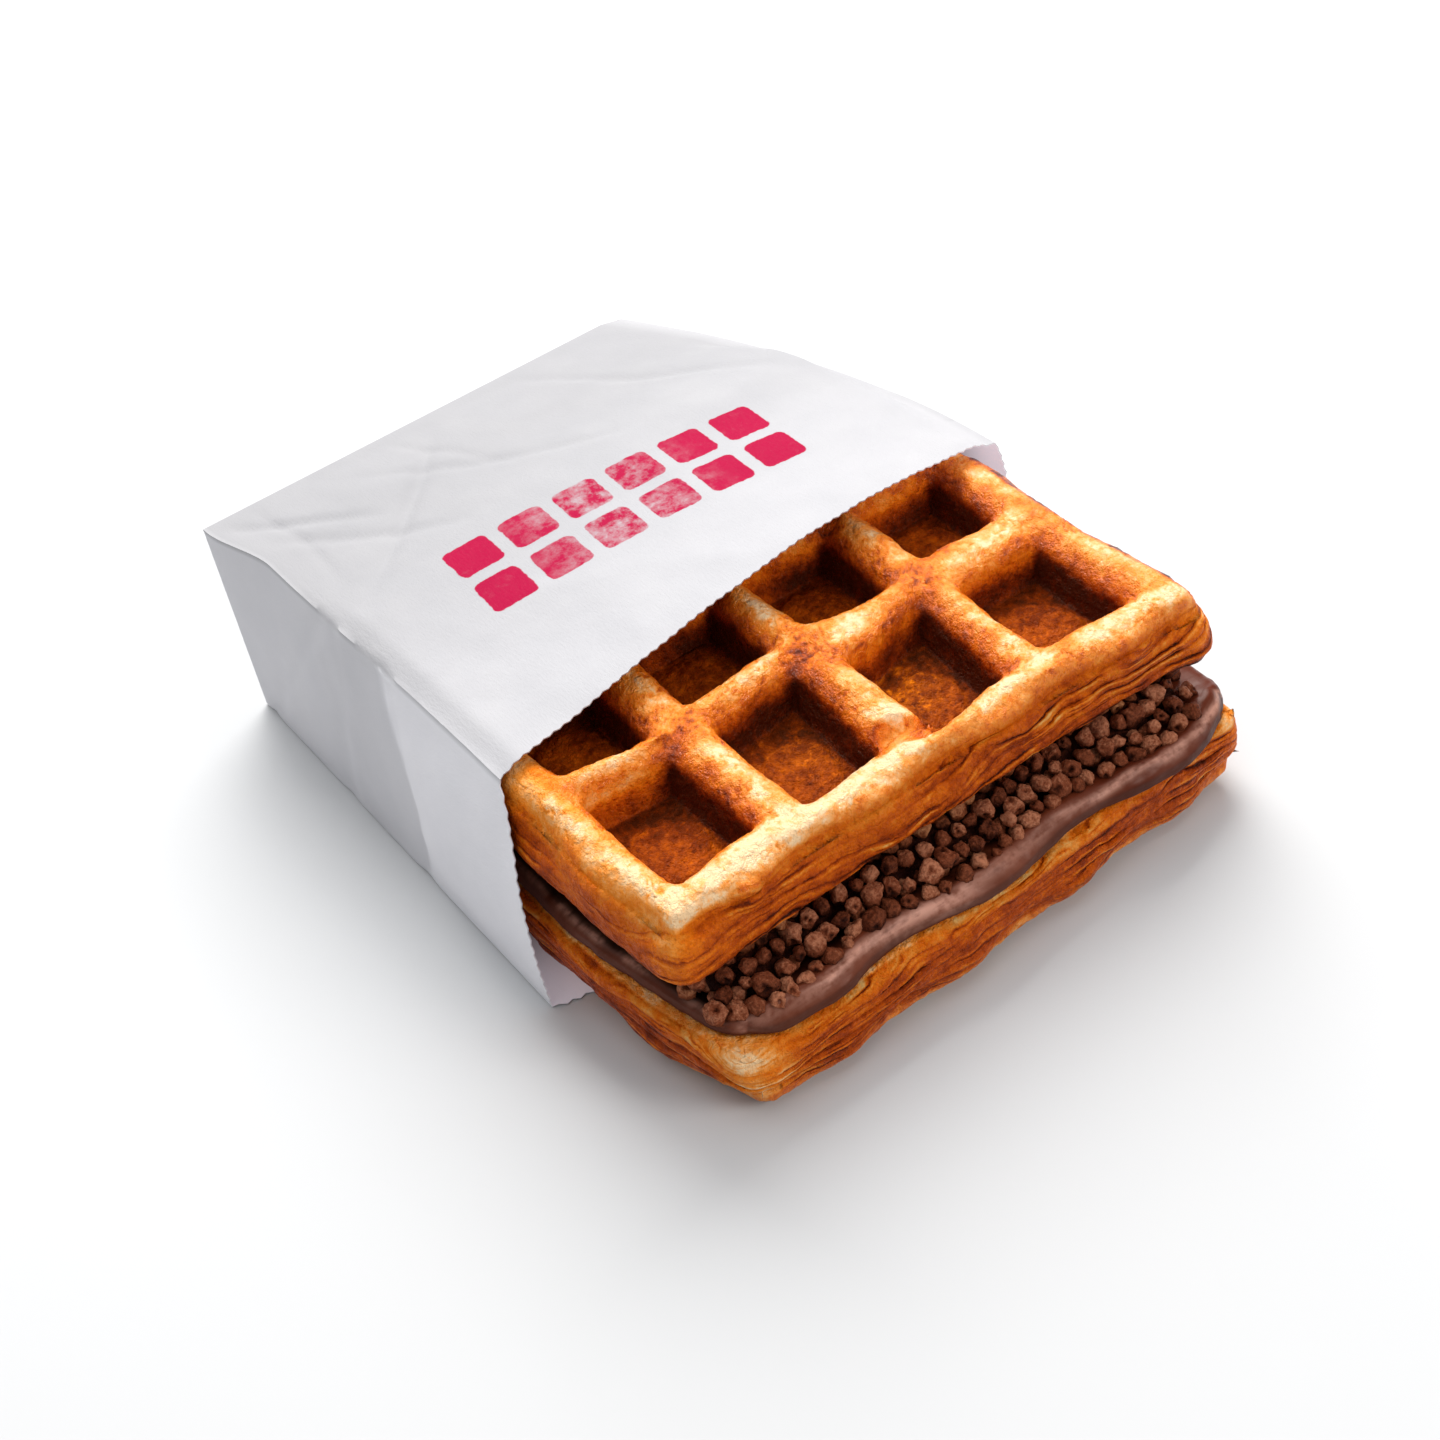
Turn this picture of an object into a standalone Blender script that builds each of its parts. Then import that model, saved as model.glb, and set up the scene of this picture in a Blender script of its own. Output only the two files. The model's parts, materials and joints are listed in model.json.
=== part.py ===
"""Chocolate waffle: two half waffles with chocolate spread and crunch pearls between them, in a white paper bag.

Lengths are written in millimetres and become metres when a mesh is made.
X runs across the waffle, Y runs from the open mouth of the bag to its closed end, Z is up.
The working frame has Z = 0 on the rib tops of the upper waffle and X = Y = 0 at the crossing of its middle rib
with the second cross rib. SHIFT moves it, so that the model stands on Z = 0 with its box centred on X and Y.
"""
import math

import bmesh
import bpy
from mathutils import Vector

MM = 0.001
SHIFT = Vector((-1.80, -29.78, 38.15))

# Both halves come from one waffle of four by six pockets, cut across the middle.
HALF_WIDTH = 52.5  # half the width over the rims
FRONT = -33.4  # outer face of the front rim
BACK = 50.0  # outer face of the back rim
THICKNESS = 12.8
SHOULDER = 1.2  # width of the rounded outer edge
DRAFT = 2.1  # how far a pocket's floor stands in from its opening
FRONT_RADIUS = 3.6  # corners in plan
BACK_RADIUS = 12.0
COLUMNS = [(-45.6, -28.3), (-22.1, -4.0), (2.4, 21.1), (27.0, 44.6)]  # left and right side of each pocket
ROWS = [(-26.9, -3.6), (1.9, 20.2), (26.4, 43.2)]  # front and back side of each pocket
CREST_DROP = {"crest": 0.0, "edge": 1.1, "shoulder": 0.9, "side": 3.1}
# How far the side stands out at a depth under the rib plane: the upper waffle spreads towards its cut underside
UPPER_SIDE = [(0.0, -0.6), (-3.1, -0.3), (-5.6, 0.7), (-8.4, 1.6), (-11.0, 2.0), (-12.8, 1.4)]
LOWER_SIDE = [(0.0, -0.9), (-3.1, -0.6), (-5.6, 0.1), (-8.4, 0.3), (-11.0, 0.2), (-12.8, -0.5)]

# The stack, from the bottom
PAPER = 0.6  # wall of the bag
GAP = 0.3  # clearance between pieces that lie on each other
BAG_BOTTOM = -38.15
LOWER_RIBS = BAG_BOTTOM + PAPER + GAP  # the lower waffle lies on its ribs
LOWER_TOP = LOWER_RIBS + THICKNESS
SPREAD_BOTTOM = LOWER_TOP + GAP
SPREAD_LEVEL = SPREAD_BOTTOM + 2.6  # the bed that the pearls lie in
LIP = 3.9  # height of the rounded lip along the front
CRUNCH_BOTTOM = SPREAD_LEVEL + GAP
UPPER_UNDERSIDE = -THICKNESS
CRUNCH_TOP = UPPER_UNDERSIDE - GAP
SPREAD_RIGHT = 57.4
PEARL = 3.6  # size of one crunch pearl

COLLECTION = "chocolate_waffle"


def ramp(a, b, t):
    """0 below a, 1 above b, and smooth between."""
    t = min(1.0, max(0.0, (t - a) / (b - a)))
    return t * t * (3.0 - 2.0 * t)


def lerp(a, b, t):
    return a + (b - a) * t


def along(pairs, z):
    """The value at z on a line through pairs of (z, value), with z falling."""
    for (z0, v0), (z1, v1) in zip(pairs, pairs[1:]):
        if z >= z1:
            return lerp(v0, v1, (z0 - z) / (z0 - z1))
    return pairs[-1][1]


def uneven(x, y, phase=0.0):
    """A gentle bumpiness between about -1 and 1, the same on every run."""
    return (
        0.45 * math.sin(0.131 * x + 0.093 * y + phase)
        + 0.35 * math.sin(-0.217 * x + 0.171 * y + 1.7 * phase + 1.1)
        + 0.20 * math.sin(0.402 * x + 0.357 * y + 2.3 * phase + 2.6)
    )


def material(name, colour, roughness, metallic=0.0):
    m = bpy.data.materials.new(name)
    m.use_nodes = True
    shader = m.node_tree.nodes["Principled BSDF"]
    shader.inputs["Base Color"].default_value = (*colour, 1.0)
    shader.inputs["Roughness"].default_value = roughness
    shader.inputs["Metallic"].default_value = metallic
    m.diffuse_color = (*colour, 1.0)
    return m


def grid_box(xs, ys, zs):
    """A box, cut along planes at every given x, y and z."""
    bm = bmesh.new()
    bmesh.ops.create_cube(bm, size=1.0)
    for v in bm.verts:
        v.co = Vector(
            (
                xs[0] if v.co.x < 0 else xs[-1],
                ys[0] if v.co.y < 0 else ys[-1],
                zs[0] if v.co.z < 0 else zs[-1],
            )
        )
    for axis, cuts in enumerate((xs, ys, zs)):
        normal = Vector((0.0, 0.0, 0.0))
        normal[axis] = 1.0
        for c in cuts[1:-1]:
            bmesh.ops.bisect_plane(
                bm,
                geom=bm.verts[:] + bm.edges[:] + bm.faces[:],
                dist=1e-5,
                plane_co=normal * c,
                plane_no=normal,
            )
    return bm


def finish(bm, name, mat, collection, sharp=40.0):
    """Turns a mesh in working millimetres into a named object in metres."""
    for v in bm.verts:
        v.co = (v.co + SHIFT) * MM
    bmesh.ops.recalc_face_normals(bm, faces=bm.faces)
    mesh = bpy.data.meshes.new(name)
    bm.to_mesh(mesh)
    bm.free()
    mesh.materials.append(mat)
    mesh.shade_smooth()
    mesh.set_sharp_from_angle(angle=math.radians(sharp))
    obj = bpy.data.objects.new(name, mesh)
    collection.objects.link(obj)
    return obj


def one_flat_face(bm, z):
    """Joins the faces that lie flat at height z into one."""
    flat = [f for f in bm.faces if all(abs(v.co.z - z) < 1e-4 for v in f.verts)]
    bmesh.ops.dissolve_faces(bm, faces=flat, use_verts=False)


# ---------------------------------------------------------------- waffles


def pocket_lines(pockets, low, high):
    """The grid lines across one direction of a waffle, each with its part in the shape."""
    lines = [(low, "side"), (low + SHOULDER, "shoulder"), ((low + pockets[0][0]) / 2, "crest")]
    for i, (a, b) in enumerate(pockets):
        lines += [(a, "edge"), (a + DRAFT, "floor"), ((a + b) / 2, "mid"), (b - DRAFT, "floor"), (b, "edge")]
        if i + 1 < len(pockets):
            lines.append(((b + pockets[i + 1][0]) / 2, "crest"))
    lines += [((high + pockets[-1][1]) / 2, "crest"), (high - SHOULDER, "shoulder"), (high, "side")]
    return lines


def round_plan(x, y):
    """Rounds the corners of the plan, by drawing each square corner into a quarter disc."""
    r = BACK_RADIUS if y > 0 else FRONT_RADIUS
    dx = abs(x) - (HALF_WIDTH - r)
    dy = y - (BACK - r) if y > 0 else (FRONT + r) - y
    if dx <= 0 or dy <= 0:
        return x, y
    k = max(dx, dy) / math.hypot(dx, dy)
    x = math.copysign(HALF_WIDTH - r + dx * k, x)
    y = BACK - r + dy * k if y > 0 else FRONT + r - dy * k
    return x, y


def rib_drop(role_x, role_y):
    """How far below the rib plane a point of the ribs or the rim lies."""
    roles = [r for r in (role_x, role_y) if r in CREST_DROP]
    drops = [CREST_DROP[r] for r in roles]
    if "side" in roles or "shoulder" in roles:
        return max(drops)
    return min(drops)


def waffle(name, depth, up, plane, outline, sides, mat, collection, broken_rib=False):
    """A half waffle with pockets on one face: up is 1 with the pockets on top, and -1 turns it over.

    plane is the height of the rib plane, and outline places a point of the plain waffle in the stack.
    """
    lines_x = pocket_lines(COLUMNS, -HALF_WIDTH, HALF_WIDTH)
    lines_y = pocket_lines(ROWS, FRONT, BACK)
    xs, ys = [l[0] for l in lines_x], [l[0] for l in lines_y]
    zs = sorted(z for z, _ in sides if z != -3.1)
    bm = grid_box(xs, ys, zs)

    def role(lines, value):
        return min(lines, key=lambda l: abs(l[0] - value))[1]

    for v in bm.verts:
        x, y, z = v.co
        rx, ry = role(lines_x, x), role(lines_y, y)
        on_top = z > -1e-4
        depth_here = -z
        if on_top:
            if rx in ("floor", "mid") and ry in ("floor", "mid"):
                depth_here = depth - (0.5 if rx == ry == "mid" else 0.0) + 0.35 * uneven(3 * x, 3 * y, 0.4)
            else:
                depth_here = rib_drop(rx, ry) + 0.35 + 0.35 * uneven(x, y)
                if rx == "crest" and ry == "crest" and abs(x) < 40 and FRONT + 10 < y < BACK - 10:
                    depth_here += 0.7
                if broken_rib and abs(x) < 5 and abs(y - (ROWS[0][0] + DRAFT)) < 0.1:
                    depth_here += 3.4
        # bellied sides
        push = along(sides, -3.1 if on_top else z)
        px, py = x, y
        if rx == "side":
            px += push if x > 0 else -push
        if ry == "side":
            py += push if y > 0 else -push
        px, py = round_plan(px, py)
        if "side" not in (rx, ry) and on_top:
            px += 0.35 * uneven(2 * y, x, 0.9)
            py += 0.35 * uneven(2 * x, y, 2.1)
        px, py = outline(up * px, py, depth_here / THICKNESS)
        v.co = Vector((px, py, plane - up * depth_here))
    one_flat_face(bm, plane - up * THICKNESS)
    return finish(bm, name, mat, collection)


def upper_outline(x, y, down):
    """The upper waffle is waisted in front, flares at its right corner, and is narrower where the bag closes on it."""
    u = x / HALF_WIDTH
    if y < 0:
        front = ramp(-12.0, FRONT, y)
        y += front * (1.7 * (1.0 - min(1.0, abs(u)) ** 3) - 0.9 * ramp(42.0, 53.0, x))
        if x > 0:
            x += 2.4 * ramp(-12.0, -30.0, y) * u**3
        else:
            x += 1.6 * ramp(-8.0, -33.0, y) * (-u) ** 3
    elif x > 0:
        x -= 2.6 * (y / 40.0) ** 2 * u
    elif x < 0:
        x -= 0.6 * ramp(0.0, 12.0, y) * down * u
    return x, y


def lower_left(y):
    """The left side of the lower waffle draws in towards its front corner."""
    return -54.6 + 6.5 * (max(0.0, -y) / 42.0) ** 2.5


def lower_outline(x, y, down):
    """The lower waffle is pushed out of the bag and sits to the right; its front leans out towards the bottom."""
    out = 10.0 - 0.05 * max(0.0, x + 10.0)
    y2 = y - out
    y2 -= 2.2 * (1.0 - down) * ramp(-18.0, -40.0, y2)
    left = lower_left(y2) + 1.4 * (1.0 - down)
    right = 58.4 - 4.0 * ramp(-30.0, 20.0, y2)
    u = (x + HALF_WIDTH) / (2 * HALF_WIDTH)
    return lerp(left, right, u), y2


# ---------------------------------------------------------------- filling


def lip_line(x):
    """Front edge of the spread: a wavy line that hangs over the lower waffle in three places."""
    return -41.9 - 1.2 * math.cos(x * 2 * math.pi / 39.5) + 2.4 * ramp(44.0, 58.0, x) + 0.8 * ramp(-30.0, -48.0, x)


def spread_left(y):
    return lower_left(y) + 2.0 + 1.3 * ramp(-5.0, -25.0, y)


def spread(mat, collection):
    """The bed of chocolate spread, with a rounded lip along its front."""
    inset = [0.0, 1.1, 2.8, 4.6, 6.4]
    n = 27
    us = [0.0, 0.012, 0.032] + [lerp(0.055, 0.945, i / (n - 1)) for i in range(n)] + [0.968, 0.988, 1.0]
    vs = inset + [24.0, 50.0, 76.0, 77.8, 79.0]
    rise = {0: 0.45, 1: 0.86, 2: 1.0}
    bm = grid_box(us, vs, [0.0, 0.5, 1.0])
    for v in bm.verts:
        u, d, w = v.co
        i = min(range(len(us)), key=lambda k: abs(us[k] - u))
        j = min(range(len(vs)), key=lambda k: abs(vs[k] - d))
        side = min(i, len(us) - 1 - i)
        end = len(vs) - 1 - j
        x = lerp(spread_left(-10.0), SPREAD_RIGHT, u)
        y = lip_line(x) + d
        # the left side follows the waffle below, and the front corners are round
        x += (spread_left(y) - spread_left(-10.0)) * (1.0 - u) ** 2
        r = 5.5
        for sign, limit in ((1, spread_left(y)), (-1, SPREAD_RIGHT)):
            dx, dy = r - sign * (x - limit), r - d
            if dx > 0 and dy > 0:
                k = max(dx, dy) / math.hypot(dx, dy)
                x += sign * dx * (1 - k)
                y += dy * (1 - k)
        level = SPREAD_LEVEL - SPREAD_BOTTOM
        top = level
        if j < 3:
            top = lerp(level * 0.9, LIP + 0.25 * uneven(4 * x, 0.0), rise[j])
        if side == 0:
            top = min(top, level * 0.55)
        elif side == 1:
            top = min(top, level * 0.9)
        if end == 0:
            top = level * 0.55
        z = SPREAD_BOTTOM + w * top
        if 0.25 < w < 0.75:
            if j == 0:
                y -= 0.45
            if i == 0:
                x -= 0.2
            if i == len(us) - 1:
                x += 0.3
        v.co = Vector((x, y, z))
    one_flat_face(bm, SPREAD_BOTTOM)
    return finish(bm, "chocolate_spread", mat, collection)


def crunch(mat, collection):
    """The heap of crunch pearls: level under the upper waffle, and sloping down to the lip in front of it."""
    x0, x1 = -46.0, 50.5
    n = int(round((x1 - x0) / (0.86 * PEARL)))
    us = [lerp(x0, x1, i / n) for i in range(n + 1)]
    vs = [0.0, 1.0, 2.6, 4.2, 5.8, 7.4, 22.0, 45.0, 74.0, 76.0]
    level = [0.16, 0.42, 0.62, 0.80, 0.95, 1.0, 1.0, 1.0, 1.0, 0.6]
    height = CRUNCH_TOP - CRUNCH_BOTTOM
    bm = grid_box(us, vs, [0.0, 0.5, 1.0])
    for v in bm.verts:
        x, d, w = v.co
        i = min(range(len(us)), key=lambda k: abs(us[k] - x))
        j = min(range(len(vs)), key=lambda k: abs(vs[k] - d))
        toe = lip_line(x) + 5.6 + 0.35 * uneven(9 * x, 3.0) + 1.8 * ramp(-39.0, -46.0, x)
        y = toe + d
        bump = 0.5 * (1 if (i + j) % 2 else -1)
        top = level[j] * height
        if 0 < j < 5:
            top += bump * (1 if j > 1 else 0.5)
        if i in (0, n):
            top *= 0.62
            x += 0.5 if i == 0 else -0.5
        if 0.25 < w < 0.75:
            if j == 0:
                y -= 0.15 + 0.2 * bump
            if i in (0, n):
                x += (-0.6 if i == 0 else 0.6) + bump * 0.5
        v.co = Vector((x, y, CRUNCH_BOTTOM + w * min(top, height)))
    one_flat_face(bm, CRUNCH_BOTTOM)
    return finish(bm, "crunch_layer", mat, collection)


# ---------------------------------------------------------------- bag

MOUTH_ARCH = 5.6  # how far the top sheet domes over the waffle at the mouth


def bag_point(s, t, w):
    """A point of the bag: s runs from left to right, t from the mouth to the closed end, w from bottom to top."""
    mouth_left = lerp(-6.1, 6.1, w**2.1)
    mouth_right = lerp(3.0, 16.7, math.sin(min(1.0, 1.2 * w) * math.pi / 2))
    mouth = lerp(mouth_left, mouth_right, s) - 4.5 * math.sin(math.pi * s**0.6) * (1 - w) ** 3
    back = lerp(lerp(84.5, 88.6, w), lerp(99.0, 104.3, w), s)
    y = lerp(mouth, back, t)

    left_top = lerp(-53.1, -54.6, ramp(0.0, 0.83, t)) - 3.8 * ramp(0.8, 1.0, t)
    left = lerp(-57.6, left_top, w ** (1.0 + 2.0 * (1.0 - t) ** 0.7))
    right_top = 53.8 - 0.9 * t - 18.7 * t * t
    right_bottom = 62.0 - 11.0 * t**2.5
    right = right_top + (right_bottom - right_top) * (1 - w) ** 0.35
    x = lerp(left, right, s)

    corner_left = 0.3 - 0.2 * t
    corner_right = 0.4 - 10.6 * t**1.3
    base = lerp(corner_left, corner_right, s)
    dome = MOUTH_ARCH * math.sin(math.pi * s**1.25) * (1 - t) ** 1.2
    over = lerp(max(base, 1.4), base, ramp(0.44, 0.8, t))
    edge = min(ramp(0.0, 0.04, s), ramp(0.0, 0.04, 1 - s))
    top = lerp(base, over, edge) + dome
    z = lerp(BAG_BOTTOM, top, w)
    return Vector((x, y, z))


def bag(mat, collection):
    """The paper bag: five sheets of one thin shell, open at the mouth."""
    ss = [0.0, 0.045, 0.14, 0.27, 0.41, 0.55, 0.69, 0.83, 0.955, 1.0]
    ts = [0.0, 0.06, 0.15, 0.26, 0.38, 0.5, 0.62, 0.73, 0.83, 0.92, 1.0]
    ws = [0.0, 0.22, 0.45, 0.68, 0.88, 1.0]
    bm = grid_box(ss, ts, ws)
    mouth = [f for f in bm.faces if all(v.co.y < 1e-4 for v in f.verts)]
    bmesh.ops.delete(bm, geom=mouth, context="FACES")
    for v in bm.verts:
        v.co = bag_point(*v.co)
    obj = finish(bm, "paper_bag", mat, collection, sharp=35.0)
    shell = obj.modifiers.new("paper", "SOLIDIFY")
    shell.thickness = PAPER * MM
    shell.offset = -1.0
    shell.use_even_offset = True
    return obj


# ---------------------------------------------------------------- the model


def main():
    for obj in list(bpy.data.objects):
        bpy.data.objects.remove(obj, do_unlink=True)
    collection = bpy.data.collections.new(COLLECTION)
    bpy.context.scene.collection.children.link(collection)

    crust = material("waffle_crust", (0.56, 0.23, 0.045), 0.55)
    lower_crust = material("waffle_crust_lower", (0.50, 0.20, 0.04), 0.6)
    chocolate = material("chocolate_spread", (0.14, 0.052, 0.026), 0.3)
    pearls = material("crunch_pearls", (0.09, 0.032, 0.018), 0.45)
    paper = material("white_paper", (0.80, 0.79, 0.82), 0.75)

    waffle("top_waffle", 8.6, 1, 0.0, upper_outline, UPPER_SIDE, crust, collection, broken_rib=True)
    waffle("bottom_waffle", 7.6, -1, LOWER_RIBS, lower_outline, LOWER_SIDE, lower_crust, collection)
    spread(chocolate, collection)
    crunch(pearls, collection)
    bag(paper, collection)


main()
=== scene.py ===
"""Looks of the chocolate waffle: crust, filling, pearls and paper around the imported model."""
import json
import math

import bpy
import numpy as np
from mathutils import Matrix

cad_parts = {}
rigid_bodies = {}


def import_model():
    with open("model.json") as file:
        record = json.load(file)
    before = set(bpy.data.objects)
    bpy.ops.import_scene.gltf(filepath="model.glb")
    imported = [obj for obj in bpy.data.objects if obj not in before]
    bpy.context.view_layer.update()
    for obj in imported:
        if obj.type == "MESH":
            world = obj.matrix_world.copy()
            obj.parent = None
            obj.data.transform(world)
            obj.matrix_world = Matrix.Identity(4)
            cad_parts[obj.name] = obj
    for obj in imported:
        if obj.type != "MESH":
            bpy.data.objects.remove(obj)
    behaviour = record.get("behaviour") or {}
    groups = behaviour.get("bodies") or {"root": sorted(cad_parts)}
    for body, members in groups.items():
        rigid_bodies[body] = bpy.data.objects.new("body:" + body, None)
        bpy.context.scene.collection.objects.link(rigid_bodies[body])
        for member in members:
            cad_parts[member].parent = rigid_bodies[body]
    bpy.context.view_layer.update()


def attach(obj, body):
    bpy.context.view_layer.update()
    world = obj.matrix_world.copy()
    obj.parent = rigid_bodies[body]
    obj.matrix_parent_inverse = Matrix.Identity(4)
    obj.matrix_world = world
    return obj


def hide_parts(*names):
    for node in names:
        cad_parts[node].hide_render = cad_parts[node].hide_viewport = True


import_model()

# Lengths are in millimetres in the waffle's own frame (Z = 0 on the upper rib tops) until a mesh is made.
MM = 0.001
SHIFT = np.array((-1.80, -29.78, 38.15))

HALF_WIDTH, FRONT, BACK, THICKNESS = 52.5, -33.4, 50.0, 12.8
FRONT_RADIUS, BACK_RADIUS = 3.6, 12.0
COLUMNS = [(-45.6, -28.3), (-22.1, -4.0), (2.4, 21.1), (27.0, 44.6)]
ROWS = [(-26.9, -3.6), (1.9, 20.2), (26.4, 43.2)]
UPPER_SIDE = [(0.0, -0.6), (-3.1, -0.3), (-5.6, 0.7), (-8.4, 1.6), (-11.0, 2.0), (-12.8, 1.4)]
LOWER_SIDE = [(0.0, -0.9), (-3.1, -0.6), (-5.6, 0.1), (-8.4, 0.3), (-11.0, 0.2), (-12.8, -0.5)]
EDGE = 4.2  # radius of the rounded outer rim

BAG_BOTTOM = -38.15
LOWER_RIBS = -37.25
LOWER_TOP = -24.45
SPREAD_BOTTOM = -24.15
SPREAD_LEVEL = -21.55
LIP = 3.9
CRUNCH_BOTTOM = -21.25
CRUNCH_TOP = -13.1
SPREAD_RIGHT = 58.6
MOUTH_ARCH = 5.6


# ---------------------------------------------------------------- numbers


def ramp(a, b, t):
    t = np.clip((t - a) / (b - a), 0.0, 1.0)
    return t * t * (3.0 - 2.0 * t)


def lerp(a, b, t):
    return a + (b - a) * t


def bell(d, width):
    return np.exp(-((d / width) ** 2))


def uneven(x, y, phase=0.0):
    return (
        0.45 * np.sin(0.131 * x + 0.093 * y + phase)
        + 0.35 * np.sin(-0.217 * x + 0.171 * y + 1.7 * phase + 1.1)
        + 0.20 * np.sin(0.402 * x + 0.357 * y + 2.3 * phase + 2.6)
    )


_rng = np.random.RandomState(11)
_PERM = _rng.permutation(256)
_GRAD = _rng.normal(size=(256, 3))
_GRAD /= np.linalg.norm(_GRAD, axis=1, keepdims=True)


def noise(x, y, z, seed=0):
    """Smooth gradient noise, about -1 to 1."""
    x = np.asarray(x, float) + 31.7 * seed
    y = np.asarray(y, float) + 17.3 * seed
    z = np.asarray(z, float) + 0.0 * x + 7.9 * seed
    y = y + 0.0 * x
    xi, yi, zi = (np.floor(c).astype(np.int64) for c in (x, y, z))
    fx, fy, fz = x - xi, y - yi, z - zi
    ease = lambda t: t * t * t * (t * (t * 6 - 15) + 10)
    u, v, w = ease(fx), ease(fy), ease(fz)
    out = 0.0
    for i in (0, 1):
        hx = _PERM[(xi + i) & 255]
        for j in (0, 1):
            hy = _PERM[(hx + yi + j) & 255]
            for k in (0, 1):
                g = _GRAD[_PERM[(hy + zi + k) & 255]]
                dot = g[..., 0] * (fx - i) + g[..., 1] * (fy - j) + g[..., 2] * (fz - k)
                out = out + (u if i else 1 - u) * (v if j else 1 - v) * (w if k else 1 - w) * dot
    return out * 1.6


def fbm(p, size, octaves=3, seed=0, gain=0.5):
    out, amp = 0.0, 1.0
    for o in range(octaves):
        out = out + amp * noise(p[..., 0] / size, p[..., 1] / size, p[..., 2] / size, seed + o)
        size, amp = size * 0.5, amp * gain
    return out


def spaced(lo, hi, spacing):
    """Grid lines from lo to hi, about spacing(x) apart."""
    xs = np.linspace(lo, hi, 12001)
    mid = 0.5 * (xs[1:] + xs[:-1])
    c = np.concatenate([[0.0], np.cumsum(np.diff(xs) / spacing(mid))])
    n = int(math.ceil(c[-1]))
    return np.interp(np.linspace(0.0, c[-1], n + 1), c, xs)


# ---------------------------------------------------------------- meshes


def quad_normals(v, quads):
    n = np.cross(v[quads[:, 2]] - v[quads[:, 0]], v[quads[:, 3]] - v[quads[:, 1]])
    out = np.zeros_like(v)
    for k in range(4):
        for c in range(3):
            out[:, c] += np.bincount(quads[:, k], weights=n[:, c], minlength=len(v))
    return out / np.maximum(np.linalg.norm(out, axis=1, keepdims=True), 1e-9)


def grid_quads(nu, nv, wrap=False):
    """Quads of a grid whose vertex (i, j) is i * nv + j."""
    i = np.arange(nu if wrap else nu - 1)
    j = np.arange(nv - 1)
    i, j = np.meshgrid(i, j, indexing="ij")
    i2 = (i + 1) % nu
    return np.stack([i * nv + j, i2 * nv + j, i2 * nv + j + 1, i * nv + j + 1], axis=-1).reshape(-1, 4)


def make(name, verts, quads, mat, attrs=None, caps=(), body="root", node=None):
    """A mesh object from points in working millimetres."""
    verts = (np.asarray(verts) + SHIFT) * MM
    me = bpy.data.meshes.new(name)
    faces = [list(map(int, q)) for q in quads] + [list(map(int, c)) for c in caps]
    me.from_pydata([tuple(v) for v in verts], [], faces)
    me.update()
    me.shade_smooth()
    for key, values in (attrs or {}).items():
        values = np.asarray(values, dtype=np.float32)
        if values.ndim == 1:
            me.attributes.new(key, "FLOAT", "POINT").data.foreach_set("value", values)
        else:
            me.attributes.new(key, "FLOAT_VECTOR", "POINT").data.foreach_set("vector", values.ravel())
    me.materials.append(mat)
    obj = bpy.data.objects.new(name, me)
    bpy.context.scene.collection.objects.link(obj)
    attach(obj, body)
    if node:
        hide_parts(node)
    return obj


# ---------------------------------------------------------------- materials


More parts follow.
